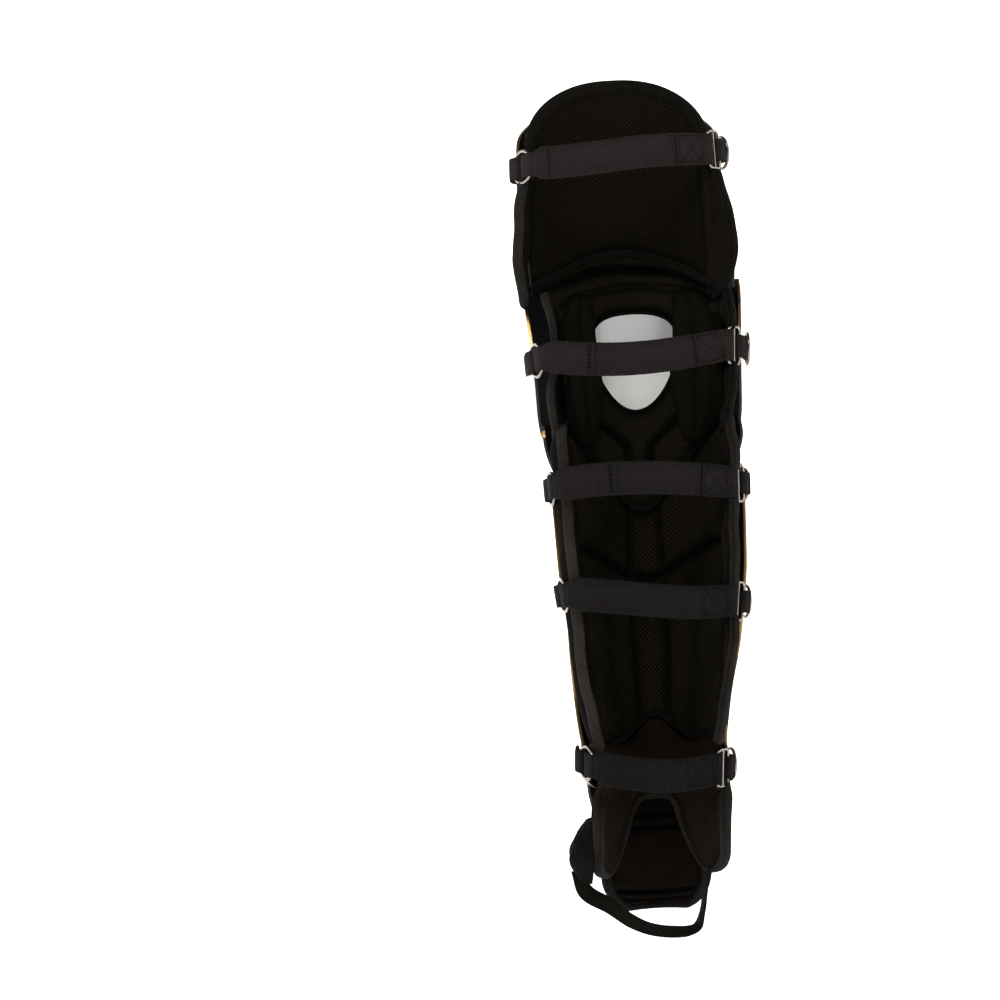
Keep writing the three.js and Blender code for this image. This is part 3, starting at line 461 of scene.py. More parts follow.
def cloth_position(tree):
    """The cloth's own UV map, in millimetres."""
    uv = tree.nodes.new("ShaderNodeUVMap")
    uv.uv_map = "cloth"
    return in_millimetres(tree, uv.outputs[0])


def object_position(tree):
    return in_millimetres(tree, tree.nodes.new("ShaderNodeTexCoord").outputs["Object"])


def use(tree, effect_name, position, **values):
    node = tree.nodes.new("ShaderNodeGroup")
    node.node_tree = WEAVES[effect_name]
    tree.links.new(position, node.inputs["Position"])
    for label, value in values.items():
        node.inputs[label].default_value = value
    return node.outputs


def bump(tree, shader, height, distance):
    node = tree.nodes.new("ShaderNodeBump")
    node.inputs["Distance"].default_value = distance * MM
    feed(tree, node.inputs["Height"], height)
    tree.links.new(node.outputs[0], shader.inputs["Normal"])


def rgb(r, g, b):
    return (r, g, b, 1.0)


def soft_shader(shader, roughness, specular, sheen=0.0):
    shader.inputs["Roughness"].default_value = roughness
    shader.inputs["Specular IOR Level"].default_value = specular
    shader.inputs["Sheen Weight"].default_value = sheen


def scaled(colour, factor):
    return rgb(*(factor * part for part in colour))


def mesh_cloth(name, thread, hole, pitch, stretch, open_, depth):
    """Spacer mesh, with painted shade where the seam attribute says that a face sinks into a seam."""
    material, tree, shader = new_material(name)
    position = cloth_position(tree)
    weave = use(tree, "mesh", position, Pitch=pitch, Stretch=stretch, Open=open_)
    wear = use(tree, "lint", object_position(tree), Broad=0.018, Fine=0.5)
    base = blend(tree, wear["Mottle"], rgb(*thread), scaled(thread, 1.45))
    woven = blend(tree, weave["Hole"], base, rgb(*hole))
    # Painted shade: the seam attribute darkens the colour towards a dark tone of the thread.
    seam = tree.nodes.new("ShaderNodeAttribute")
    seam.attribute_name = "seam"
    with_painted_shade = blend(tree, seam.outputs["Fac"], woven, scaled(thread, 0.22))
    tree.links.new(with_painted_shade, shader.inputs["Base Color"])
    soft_shader(shader, 0.95, 0.03)
    bump(tree, shader, weave["Height"], depth)
    return material


def tape_cloth(name, dark, light, pitch=2.0, width=6.0, depth=0.25):
    """Herringbone tape."""
    material, tree, shader = new_material(name)
    weave = use(tree, "herringbone", cloth_position(tree), Pitch=pitch, Width=width)
    wear = use(tree, "lint", object_position(tree), Broad=0.02, Fine=0.6)
    base = blend(tree, weave["Thread"], rgb(*dark), rgb(*light))
    worn = blend(tree, calc(tree, "MULTIPLY", wear["Mottle"], 0.4), base, scaled(light, 1.35))
    tree.links.new(worn, shader.inputs["Base Color"])
    soft_shader(shader, 0.9, 0.06)
    bump(tree, shader, weave["Thread"], depth)
    return material


def webbing_cloth(name, dark, light, pitch=1.5, fine=0.9, depth=0.35):
    """Ribbed webbing, with painted light: the straps are lighter towards the top of the guard."""
    material, tree, shader = new_material(name)
    weave = use(tree, "ribs", cloth_position(tree), Pitch=pitch, Fine=fine)
    wear = use(tree, "lint", object_position(tree), Broad=0.025, Fine=0.7)
    # Painted light from above: the colour darkens towards the bottom of the guard.
    height = ramp(tree, split(tree, object_position(tree))[2], -340.0, 120.0, 0.0, 0.8)
    base = blend(tree, weave["Rib"], rgb(*dark), rgb(*light))
    base = blend(tree, height, blend(tree, 0.66, base, rgb(0.0, 0.0, 0.0)), base)
    dusty = blend(tree, calc(tree, "MULTIPLY", wear["Fleck"], 0.35), base, scaled(light, 1.5))
    tree.links.new(dusty, shader.inputs["Base Color"])
    soft_shader(shader, 0.85, 0.08)
    bump(tree, shader, weave["Rib"], depth)
    return material


def plain_cloth(name, dark, light, roughness=0.85, grain=0.9, depth=0.3):
    """Smooth cloth and thread."""
    material, tree, shader = new_material(name)
    position = object_position(tree)
    wear = use(tree, "lint", position, Broad=0.03, Fine=grain)
    tree.links.new(blend(tree, wear["Mottle"], rgb(*dark), rgb(*light)), shader.inputs["Base Color"])
    soft_shader(shader, roughness, 0.03, 0.01)
    bump(tree, shader, noise(tree, position, grain, 4.0), depth)
    return material


# Mesh: colour of the thread and of what shows in its holes, pitch in millimetres, how
# much longer than wide a hole is, how open the mesh is, and the depth of its relief.
MESHES = {
    "thigh mesh": ((0.003, 0.0024, 0.0014), (0.0122, 0.01, 0.0068), 2.0, 0.85, 0.5, 0.25),
    "knee mesh": ((0.0066, 0.0054, 0.0034), (0.0135, 0.0115, 0.0078), 1.7, 0.85, 0.5, 0.3),
    "column mesh": ((0.0072, 0.006, 0.0035), (0.0022, 0.0016, 0.0009), 1.6, 1.1, 0.6, 0.5),
    "shin mesh": ((0.0118, 0.0096, 0.006), (0.0004, 0.0003, 0.0002), 1.6, 1.2, 0.85, 0.8),
    "ankle knit": ((0.0058, 0.004, 0.0022), (0.0165, 0.012, 0.0075), 1.5, 0.6, 0.5, 0.25),
    "toe knit": ((0.0015, 0.001, 0.0006), (0.0096, 0.0068, 0.0041), 1.6, 0.7, 0.5, 0.3),
}
# The other cloths have a dark and a light colour.
TAPES = {
    "dark tape": ((0.0012, 0.001, 0.0006), (0.0058, 0.0046, 0.0031)),
    "knee tape": ((0.0022, 0.0018, 0.0014), (0.0165, 0.0142, 0.012)),
    "wing tape": ((0.003, 0.0024, 0.0018), (0.0245, 0.0214, 0.0185)),
}
WEBBINGS = {
    "webbing": ((0.0078, 0.0063, 0.0058), (0.0178, 0.015, 0.0139)),
    "foot webbing": ((0.0085, 0.0066, 0.0036), (0.018, 0.0145, 0.008)),
}
PLAIN_CLOTHS = {
    "wing cloth": ((0.0026, 0.0018, 0.0014), (0.0048, 0.0035, 0.0028)),
    "pocket cloth": ((0.0022, 0.0018, 0.0015), (0.0052, 0.0043, 0.0037), 0.8, 0.25, 0.6),
    "box thread": ((0.0012, 0.001, 0.0008), (0.0026, 0.0021, 0.0018)),
    "thread": ((0.004, 0.0032, 0.0026), (0.0105, 0.0088, 0.0075)),
}
MATERIALS = {}
for make, table in ((mesh_cloth, MESHES), (tape_cloth, TAPES), (webbing_cloth, WEBBINGS),
                    (plain_cloth, PLAIN_CLOTHS)):
    for name, values in table.items():
        MATERIALS[name] = make(name, *values)

# %% [markdown]
# The plates are glossy plastic, painted gold. Inside they are lined in a dark colour, and
# only the knee cap is left pale. The wire parts are polished nickel and the domes a
# darker nickel. Each has fine scratches and a slow change of roughness, as polish has.

# %% Hard finishes
def hard_finish(name, colour, other, metallic, roughness, scratch, coat):
    material, tree, shader = new_material(name)
    position = object_position(tree)
    wear = use(tree, "lint", position, Broad=0.02, Fine=0.35)
    tree.links.new(blend(tree, wear["Mottle"], rgb(*colour), rgb(*other)), shader.inputs["Base Color"])
    tree.links.new(ramp(tree, wear["Fleck"], 0.0, 1.0, roughness, roughness + 0.12),
                   shader.inputs["Roughness"])
    shader.inputs["Metallic"].default_value = metallic
    shader.inputs["Coat Weight"].default_value = coat
    shader.inputs["Coat Roughness"].default_value = 0.08
    bump(tree, shader, noise(tree, position, 0.8, 5.0), scratch)
    return material


# Two colours, how metallic, roughness, depth of the scratches and clear coat.
HARD = {
    "gold plate": ((0.185, 0.108, 0.026), (0.225, 0.134, 0.036), 0.92, 0.28, 0.02, 0.3),
    "pale plate": ((0.8, 0.785, 0.76), (0.84, 0.825, 0.8), 0.0, 0.14, 0.02, 0.3),
    "nickel": ((0.2, 0.178, 0.16), (0.28, 0.25, 0.228), 1.0, 0.22, 0.04, 0.0),
    "lining": ((0.007, 0.005, 0.0042), (0.01, 0.0075, 0.006), 0.0, 0.75, 0.04, 0.0),
    "dark nickel": ((0.1, 0.09, 0.09), (0.16, 0.15, 0.145), 1.0, 0.2, 0.04, 0.0),
}
for name, values in HARD.items():
    MATERIALS[name] = hard_finish(name, *values)
# The knee cap is given a faint glow, painted light in place of light shining through it.
painted_glow = MATERIALS["pale plate"].node_tree.nodes["Principled BSDF"]
painted_glow.inputs["Emission Color"].default_value = rgb(1.0, 0.98, 0.95)
painted_glow.inputs["Emission Strength"].default_value = 0.09
print("materials:", len(MATERIALS))

# %% [markdown]
# The soft pieces stand on the leg's surface. soft() gives a point there and shifts it a
# little at the ankle; thigh() does the same for the pieces of the thigh, which sit
# towards the inner side. The outlines below are heights as functions of share: the arch
# over the knee, the top of the thigh pad, the V of the tongue, the foot of the shin pad.

# %% Outlines and shared surfaces
ARCH_RISE, ARCH_DEPTH, THIGH_SHOULDER, FOLD_HEIGHT = 84.0, 30.0, 162.0, 26.0
TONGUE_DROP, TONGUE_SLOPE, TONGUE_RADIUS = 123.0, 1.4, 20.0
HOLE_TOP, HOLE_BOTTOM, HOLE_HALF = 38.0, 41.0, 34.0
CHEVRON_DROP, SHIN_LOBE_DROP, SHIN_ARCH_RISE, SHIN_LOBE_SPACING = 148.0, 307.0, 18.0, 60.0
CUTOUT_TOP, ANKLE_LOBE_DROP, TOE_TOP, TOE_HALF = 355.0, 413.0, 345.0, 41.0
PAD_EDGE, PAD_THICKNESS, ANKLE_PAD, TOE_PAD = 5.0, 12.5, 9.0, 7.0
SOFT_SHIFT, ANKLE_SHIFT, ANKLE_SPREAD = 9.0, 4.5, 6.0


def soft(share, z, offset):
    """A soft piece's points; at the ankle they move inwards and the sides spread."""
    points = place(share, z, offset)
    height = points[..., 2].copy()
    points[..., 0] -= ANKLE_SHIFT * smooth(-325, -375, height) * smooth(-470, -420, height)
    spread = smooth(0.35, 0.95, np.abs(share)) * smooth(-322, -352, height) * np.sign(share)
    points[..., 0] += ANKLE_SPREAD * spread
    return points


def thigh(share, z, offset):
    """The pieces of the thigh, which sit towards the inner side and widen there."""
    points = place(share, z, offset)
    height = points[..., 2].copy()
    points[..., 0] -= SOFT_SHIFT
    widen = smooth(0.4, 0.9, -np.asarray(share, float)) * smooth(165, 120, height)
    points[..., 0] -= mix(10.0, 6.0, smooth(70, 110, height)) * widen
    return points


def fold_place(share, z, offset):
    """Between the knee pad, which has no shift, and the thigh pad."""
    part = smooth(knee_top(share), thigh_arch(share), z)[..., None]
    return mix(soft(share, z, offset), thigh(share, z, offset), part)


def at_height(share, z, offset):
    """Points whose own height is z, where the surface leans too far for soft()."""
    aim = np.array(np.broadcast_arrays(z, share)[0], float)
    for _ in range(4):
        aim = aim + (z - soft(share, aim, offset)[..., 2])
    return soft(share, aim, offset)


def across(share):
    return np.sin(np.minimum(1, np.abs(share)) * math.pi / 2)


def thigh_arch(share):
    return ARCH_RISE - ARCH_DEPTH * across(share) ** 2


def thigh_top(share):
    return mix(THIGH_SHOULDER, THIGH_RISE, np.maximum(0, 1 - across(share) ** 2.4) ** (1 / 2.4))


def knee_top(share):
    return ARCH_RISE - FOLD_HEIGHT + 3 - 0.62 * ARCH_DEPTH * across(share) ** 2


def tongue_edge(share):
    x = KNEE_HALF * across(share) * TONGUE_SLOPE
    return -TONGUE_DROP + np.hypot(x, TONGUE_RADIUS) - TONGUE_RADIUS


def shin_bottom(share):
    x = 1.06 * ANKLE_HALF * across(share)
    wave = np.cos(2 * math.pi * np.minimum(x / SHIN_LOBE_SPACING, 0.7))
    return -SHIN_LOBE_DROP + SHIN_ARCH_RISE / 2 * (1 + wave)


ANKLE_EDGE = np.array([
    (0, -CUTOUT_TOP), (0.2, -CUTOUT_TOP - 1.4), (0.28, -CUTOUT_TOP - 8), (0.33, -CUTOUT_TOP - 20),
    (0.42, -CUTOUT_TOP - 36), (0.51, -CUTOUT_TOP - 48), (0.6, -ANKLE_LOBE_DROP + 1),
    (0.7, -ANKLE_LOBE_DROP - 1), (0.83, -ANKLE_LOBE_DROP + 4), (0.95, -ANKLE_LOBE_DROP + 13),
    (1.05, -ANKLE_LOBE_DROP + 22), (1.15, -ANKLE_LOBE_DROP + 30), (1.27, -ANKLE_LOBE_DROP + 41)])


def ankle_edge(share):
    return through(ANKLE_EDGE[:, 0], ANKLE_EDGE[:, 1], np.abs(share))


def pad_outer(share):
    return mix(PAD_THICKNESS, PAD_EDGE, smooth(0.5, 0.8, np.abs(share)))


def groove(distance, width, depth):
    return depth * np.exp(-(distance / width) ** 2)


def ripple(share, z, seed, scale=26.0, height=0.8):
    """A slow uneven swell, so that no padded face is perfectly even."""
    rng = np.random.default_rng(seed)
    total = np.zeros(np.broadcast(share, z).shape)
    for k in range(7):
        turn, phase = rng.uniform(0, 2 * math.pi, 2)
        pitch = scale * rng.uniform(0.6, 1.6)
        total += np.sin((90 * share * math.cos(turn) + z * math.sin(turn)) / pitch * 2 * math.pi + phase)
    return total * height / 4


def puff(edge_distance, height, reach):
    """How far a padded face stands out: nothing at its seam, full at reach from it."""
    t = np.clip(edge_distance / reach, 0, 1)
    return height * np.sqrt(np.maximum(0, 1 - (1 - t) ** 2))


# %% [markdown]
# Binding tape runs round the open edges. It is swept along the edge with a flattened
# round profile, and a line of stitches lies along its inner side. Each stitch is a
# small rounded bar; a row of them is one mesh, joined to its tape.

# %% Bindings and stitches
def resample(share, z, offset, step, loop=False):
    share, z, offset = np.broadcast_arrays(
        np.asarray(share, float), np.asarray(z, float), np.asarray(offset, float))
    length = along_lengths(soft(share, z, offset), 0)
    count = max(6, int(length[-1] / step))
    at = np.linspace(0, length[-1], count, endpoint=not loop)
    return tuple(np.interp(at, length, values) for values in (share, z, offset))


def rounded_profile(width, thick, corners=14, power=0.75):
    angle = np.arange(corners) * 2 * math.pi / corners
    c, s = np.cos(angle), np.sin(angle)
    return np.stack([np.sign(c) * np.abs(c) ** power * width / 2,
                     np.sign(s) * np.abs(s) ** power * thick / 2], axis=-1)


STITCH_LENGTH, STITCH_GAP, STITCH_WIDTH, STITCH_RISE = 2.6, 1.5, 0.75, 0.35
BOX_LENGTH, BOX_GAP, BOX_RISE = 2.0, 1.1, 0.25


def stitches(name, path, side, normal, length=STITCH_LENGTH, gap=STITCH_GAP, rise=STITCH_RISE,
             material="thread"):
    """Rounded bars along a path, each one lying on the face that normal points out of."""
    path = np.asarray(path, float)
    far = along_lengths(path, 0)
    points, faces, uvs = [], [], []
    for start in np.arange(0, far[-1] - length, length + gap):
        ends = [np.array([np.interp(start + s * length, far, path[:, k]) for k in range(3)])
                for s in (0.0, 0.5, 1.0)]
        i = min(len(path) - 1, int(np.searchsorted(far, start + length / 2)))
        across_, off = side[i] * STITCH_WIDTH / 2, normal[i]
        base = len(points)
        for end, lift in zip(ends, (0.0, rise, 0.0)):
            points += [end - across_, end + off * lift, end + across_, end - off * 0.3]
            uvs += [(start, 0), (start, 0.3), (start, 0.6), (start, 0.9)]
        for ring in (0, 4):
            for k in range(4):
                a, b = base + ring + k, base + ring + (k + 1) % 4
                faces.append((a, b, b + 4, a + 4))
        faces.append((base + 3, base + 2, base + 1, base))
        faces.append((base + 8, base + 9, base + 10, base + 11))
    piece = mesh_object(name, points, faces, uvs)
    piece.data.materials.append(MATERIALS[material])
    return closed(piece)


def binding(name, share, z, offset, width, thick, material, loop=False, stitch=(-1,), step=3.0,
            put=soft):
    """Tape round an edge, with stitch lines on the sides named in stitch."""
    share, z, offset = resample(share, z, offset, step, loop)
    path = put(share, z, offset)
    out = outward(share, z)
    side, normal = frames_along(path, out, loop)
    tape = sweep(name, path, side, normal, rounded_profile(width, thick), loop)
    tape.data.materials.append(MATERIALS[material])
    parts = [tape]
    sign = np.sign(np.sum(normal * out, axis=-1, keepdims=True))
    for which in stitch:
        line = path + side * which * (width * 0.36) - normal * sign * (thick * 0.44)
        parts.append(stitches(name + " stitches", line, side, -normal * sign))
    return join(name, parts) if len(parts) > 1 else tape


# %% [markdown]
# The thigh pad is one dome-topped cushion. Its leg side swells gently and sinks at the
# seam beside the tape. The tape is broad over the top and narrow along the arch.

# %% Thigh pad
def pad_grid(left, right, bottom, top, columns, rows):
    share = np.linspace(left, right, columns + 1)
    # More lines near the edges keep the rim round.
    b = crowded(rows + 1)
    low, high = bottom(share), top(share)
    z = mix(low[None], high[None], b[:, None])
    return np.broadcast_to(share[None], z.shape), z


def paint(piece, material):
    piece.data.materials.clear()
    piece.data.materials.append(MATERIALS[material])
    return piece


# ARC turns a step of share into millimetres, near enough for distances to an edge.
THIGH_SIDE, THIGH_EDGE, ARC = 0.9, 0.93, 90.0
share, z = pad_grid(
    -THIGH_SIDE, THIGH_SIDE, lambda s: thigh_arch(s) + 2, lambda s: thigh_top(s) - 5, 110, 110)
edge = np.minimum(z - thigh_arch(share), thigh_top(share) - z)
edge = np.minimum(edge, (THIGH_EDGE - np.abs(share)) * ARC)
near = -puff(edge - 5, 3.2, 26) + 2.2 * smooth(9, 2, edge)
near = near + ripple(share, z, 3, 40, 0.7) * smooth(4, 20, edge)
far = pad_outer(share) - 3.5 * smooth(12, 0, edge)
thigh_pad = paint(slab("thigh pad", thigh(share, z, near), thigh(share, z, far)), "thigh mesh")
# Painted shade along the pad's rim, where it sinks at the seam beside the tape.
store_painted_shade(thigh_pad, thigh(share, z, near), 0.8 * smooth(14, 3, edge))

s = np.linspace(-THIGH_SIDE, THIGH_SIDE, 160)
rise = np.linspace(thigh_arch(THIGH_SIDE), thigh_top(THIGH_SIDE) - 8, 20)
fall = np.linspace(thigh_top(THIGH_SIDE) - 8, thigh_arch(THIGH_SIDE), 20)
top_tape = binding(
    "thigh tape", np.concatenate([np.full(20, -THIGH_SIDE), s, np.full(20, THIGH_SIDE)]),
    np.concatenate([rise, thigh_top(s) - 5, fall]), 3.0, 12.5, 9.0, "dark tape",
    stitch=(-1, 1), put=thigh)
arch_tape = binding("arch tape", s, thigh_arch(s) + 2.5, 2.2, 8.5, 8.5, "dark tape", put=thigh)
thigh_pad = join("thigh pad", [thigh_pad, top_tape, arch_tape])
finish_piece(thigh_pad, None, "thigh_pad")
print("thigh pad", len(thigh_pad.data.polygons), "faces")

# %% [markdown]
# Between the thigh pad and the knee pad lies a crescent of loose cloth. It is gathered
# into soft pleats that run from side to side and die out towards the ends.

# %% Knee fold
share, z = pad_grid(-0.9, 0.9, knee_top, lambda s: thigh_arch(s) + 3, 90, 40)
b = (z - knee_top(share)) / (thigh_arch(share) + 3 - knee_top(share))
middle = np.cos(np.minimum(1, np.abs(share) / 0.95) * math.pi / 2)
wander = 0.35 * np.sin(7 * share + 1.0) + 0.2 * np.sin(13 * share)
pleat = np.sin(2.6 * math.pi * (b + 0.12 * wander) + 0.6) * (1.3 + 2.3 * middle)
pleat = pleat * np.sin(math.pi * b) ** 0.5
near = 2.5 - pleat + ripple(share, z, 8, 18, 0.8)
knee_fold = slab("knee fold", fold_place(share, z, near), fold_place(share, z, near + 2.6))
# Painted shade in the valleys of the pleats, deepest in the middle.
store_painted_shade(knee_fold, fold_place(share, z, near), smooth(0.2, -1.6, pleat) * (0.35 + 0.65 * middle))
finish_piece(paint(knee_fold, "knee mesh"), None, "knee_fold")

# %% [markdown]
# The knee pad is laid out as rings round its hole, from the hole's edge to the pad's
# own outline. Two sewn arms run in below the hole and down side by side, like a Y. The
# rim of the hole and the tongue below are bound.

# %% Knee pad
def bezier(p0, p1, p2, p3, count):
    t = np.linspace(0, 1, count, endpoint=False)[:, None]
    p0, p1, p2, p3 = (np.asarray(p, float) for p in (p0, p1, p2, p3))
    return (1 - t) ** 3 * p0 + 3 * t * (1 - t) ** 2 * p1 + 3 * t * t * (1 - t) * p2 + t ** 3 * p3


half, top, low = HOLE_HALF, HOLE_TOP, HOLE_BOTTOM
right_side = np.concatenate([
    bezier((0, top), (0.75 * half, top), (half, 0.75 * top), (half, 0.35 * top), 40),
    bezier((half, 0.35 * top), (0.95 * half, -0.4 * low), (0.45 * half, -low), (0, -low), 60)])
hole_line = np.concatenate([right_side, right_side[::-1] * (-1, 1)])
hole_turn = np.arctan2(hole_line[:, 1], hole_line[:, 0])
order = np.argsort(hole_turn)
rays = np.linspace(-math.pi, math.pi, 260, endpoint=False)
hole_far = np.interp(rays, hole_turn[order], np.hypot(*hole_line[order].T), period=2 * math.pi)
hole_xz = np.stack([hole_far * np.cos(rays), hole_far * np.sin(rays)], axis=-1)
hole_share = share_at(hole_xz[:, 0], hole_xz[:, 1])

KNEE_SIDE, FARTHEST = 0.93, 260.0
hole_polar = np.stack([hole_share * ARC, hole_xz[:, 1]], axis=-1)
heading = unit(hole_polar)
reach_in, reach_out = np.zeros(len(rays)), np.full(len(rays), FARTHEST)
for _ in range(30):
    reach = (reach_in + reach_out) / 2
    s, height = reach * heading[:, 0] / ARC, reach * heading[:, 1]
    held = (np.abs(s) < KNEE_SIDE) & (height < knee_top(s) - 1) & (height > tongue_edge(s) + 2)
    reach_in, reach_out = np.where(held, reach, reach_in), np.where(held, reach_out, reach)
start = np.linalg.norm(hole_polar, axis=-1)
t = crowded(61)
radius = mix(start[None], reach_in[None], t[:, None])
knee_share = radius * heading[None, :, 0] / ARC
knee_z = radius * heading[None, :, 1]

ARM = [(31.5, -1.22 * HOLE_BOTTOM), (9.9, -1.7 * HOLE_BOTTOM), (6.6, -2.5 * HOLE_BOTTOM)]
knee_x = place(knee_share, knee_z, 0)[..., 0]
arms = np.minimum(near_path(knee_x, knee_z, ARM), near_path(-knee_x, knee_z, ARM))
from_hole = radius - start[None]
from_rim = reach_in[None] - radius
rim = np.minimum(from_hole, from_rim)
near = -puff(rim - 2, 4.5, 20) + groove(arms, 3.0, 7.5)
near += ripple(knee_share, knee_z, 5, 30, 0.6) * smooth(2, 12, rim)
near += 2.0 * smooth(6, 0, rim)
far = pad_outer(knee_share) - 2.5 * smooth(10, 0, rim)


def ring_slab(name, near, far):
    """A closed pad laid out as rings, the first one round a hole."""
    rings, around = near.shape[:2]
    count = rings * around
    arc = np.stack([knee_share * ARC, knee_z], axis=-1).reshape(-1, 2)
    faces = []
    for j in range(rings - 1):
        for i in range(around):
            k = (i + 1) % around
            quad = (j * around + i, j * around + k, (j + 1) * around + k, (j + 1) * around + i)
            faces.append(quad)
            faces.append(tuple(index + count for index in quad[::-1]))
    for j in (0, rings - 1):
        for i in range(around):
            k = (i + 1) % around
            a, b_ = j * around + i, j * around + k
            quad = (a, b_, b_ + count, a + count)
            faces.append(quad if j else quad[::-1])
    points = np.concatenate([near.reshape(-1, 3), far.reshape(-1, 3)])
    return closed(mesh_object(name, points, faces, np.concatenate([arc, arc])))


near_points = soft(knee_share, knee_z, near)
knee_pad = paint(ring_slab("knee pad", near_points, soft(knee_share, knee_z, far)), "knee mesh")
# Painted shade along the sewn arms, the pad's rim and the hole's edge.
dark = np.maximum(groove(arms, 3.6, 0.85), 0.7 * smooth(9, 1, from_rim))
dark = np.maximum(dark, 0.75 * smooth(11, 2, from_hole))
store_painted_shade(knee_pad, near_points, dark)
hole_tape = binding(
    "hole tape", knee_share[0] + 0.4 * heading[:, 0] / ARC, knee_z[0] + 0.4 * heading[:, 1],
    5.5, 3.2, 11.5, "dark tape", loop=True, stitch=(), step=2.0)
s = np.linspace(-0.75, 0.75, 160)
tongue_tape = binding("tongue tape", s, tongue_edge(s) + 2.4, 2.2, 7.0, 7.5, "dark tape")
s = np.linspace(-0.9, 0.9, 120)
knee_top_tape = binding("knee top tape", s, knee_top(s) - 1.5, 2.0, 5.0, 5.0, "dark tape")
knee_pad = join("knee pad", [knee_pad, hole_tape, tongue_tape, knee_top_tape])
finish_piece(knee_pad, None, "knee_pad")
print("knee pad", len(knee_pad.data.polygons), "faces")

# %% [markdown]
# Two long cushions stand on the knee pad beside the hole, bowed like a pair of brackets.
# A seam runs down each one a third of the way in from its outer side.

# %% Knee columns
COLUMN_HEIGHTS = np.array([-71.0, -68, -60, -40, -12, 18, 40, 50, 54])
COLUMN_INSIDE = np.array([42.0, 38, 35, 31, 29, 32.5, 33, 35, 41])
COLUMN_OUTSIDE = np.array([46.0, 51, 56, 62, 66, 66, 62, 55, 47])
COLUMN_FOOT, COLUMN_HEAD, SEAM_PART = -71.0, 54.0, 0.62
for sign, node in ((-1, "knee_column_left"), (1, "knee_column_right")):
    height = mix(COLUMN_FOOT, COLUMN_HEAD, crowded(71))
    x = mix(through(COLUMN_HEIGHTS, COLUMN_INSIDE, height)[:, None],
            through(COLUMN_HEIGHTS, COLUMN_OUTSIDE, height)[:, None], crowded(31)[None])
    z = np.broadcast_to(height[:, None], x.shape)
    share = share_at(x, z) * sign
    side_distance = np.minimum(x - x[:, :1], x[:, -1:] - x)
    seam = np.abs(x - mix(x[:, :1], x[:, -1:], SEAM_PART))
    if sign < 0:
        # Mirrored, so that the faces still turn outwards.
        share, z, side_distance, seam = (grid[:, ::-1] for grid in (share, z, side_distance, seam))
    edge = np.minimum(side_distance * 1.1, np.minimum(z - COLUMN_FOOT, COLUMN_HEAD - z))
    near = -1.0 - puff(edge, 8.0, 13) + groove(seam, 1.6, 1.6) * smooth(2, 10, edge)
    near += ripple(share, z, 20 + sign, 22, 0.5) * smooth(1, 8, edge)
    near_points = soft(share, z, near)
    column = slab(node.replace("_", " "), near_points, soft(share, z, np.full(share.shape, 0.6)))
    # Painted shade round each column's rim and along its seam.
    dark = np.maximum(0.85 * smooth(6, 0.5, edge), 0.45 * groove(seam, 2.4, 1.0))
    store_painted_shade(column, near_points, dark)
    finish_piece(paint(column, "column mesh"), None, node)

# %% [markdown]
# The shin pad carries open mesh over long channels. A chevron crosses it below the
# knee, two seams run down beside a raised middle rib, and its foot ends in two lobes.

# %% Shin pad
SHIN_SIDE = 0.93
share, z = pad_grid(
    -SHIN_SIDE, SHIN_SIDE, lambda s: shin_bottom(s) + 3, lambda s: tongue_edge(s) - 1.5, 110, 150)
x = place(share, z, 0)[..., 0]
# The seams' points: parts of the calf's half width, and heights.
CHEVRON = [(0.93, -CHEVRON_DROP), (0.6, -1.09 * CHEVRON_DROP), (0.24, -1.18 * CHEVRON_DROP),
           (0, -1.2 * CHEVRON_DROP)]
SEAM = [(0.24, -1.23 * CHEVRON_DROP), (0.25, -230), (0.2, -0.96 * SHIN_LOBE_DROP)]
UPPER_SEAM = [(0.2, -118), (0.24, -1.16 * CHEVRON_DROP)]
OUTER_SEAM = [(0.62, -1.2 * CHEVRON_DROP), (0.62, -240), (0.5, -0.97 * SHIN_LOBE_DROP)]


def both_sides(path):
    path = np.array(path) * (CALF_HALF, 1.0)
    return np.minimum(near_path(x, z, path), near_path(-x, z, path))


chevron, seam = both_sides(CHEVRON), np.minimum(both_sides(SEAM), both_sides(UPPER_SEAM))
outer_seam = both_sides(OUTER_SEAM)
edge = np.minimum(z - shin_bottom(share), tongue_edge(share) - z)
edge = np.minimum(edge, (0.96 - np.abs(share)) * 85)
near = -puff(edge - 4, 4.0, 20) + groove(chevron, 3.2, 6.5) + groove(seam, 2.8, 4.0)
near += groove(outer_seam, 4.5, 2.0) + 2.0 * smooth(8, 2, edge)
near += ripple(share, z, 11, 34, 0.6) * smooth(3, 14, edge)
near -= 1.2 * np.exp(-(x / 9) ** 2) * smooth(-130, -180, z)
# Where the plate is drawn in, the pad behind it is thinner.
far = pad_outer(share) - 3.0 * smooth(12, 0, edge)
thinner = smooth(-190, -240, z) * smooth(0.2, 0.5, np.abs(share))
far = np.maximum(far - mix(2.0, 6.0, smooth(-0.3, 0.3, share)) * thinner, near + 2.5)
near_points = soft(share, z, near)
shin_pad = paint(slab("shin pad", near_points, soft(share, z, far)), "shin mesh")
# Painted shade in the chevron, the seams and along the rim.
dark = np.maximum(groove(chevron, 4.5, 1.0), 0.8 * groove(seam, 3.2, 1.0))
dark = np.maximum(np.maximum(dark, 0.4 * groove(outer_seam, 4.0, 1.0)), 0.7 * smooth(10, 3, edge))
store_painted_shade(shin_pad, near_points, dark)
s = np.linspace(-0.9, 0.9, 260)
foot_tape = binding("shin foot tape", s, shin_bottom(s) + 3.2, 2.2, 7.5, 8.5, "dark tape")
shin_pad = join("shin pad", [shin_pad, foot_tape])
finish_piece(shin_pad, None, "shin_pad")
print("shin pad", len(shin_pad.data.polygons), "faces")

# %% [markdown]
# The ankle pad is knitted more finely. A bound arch is cut out over the instep, and a
# lobe hangs down on either side of it. The toe pad shows through the arch.

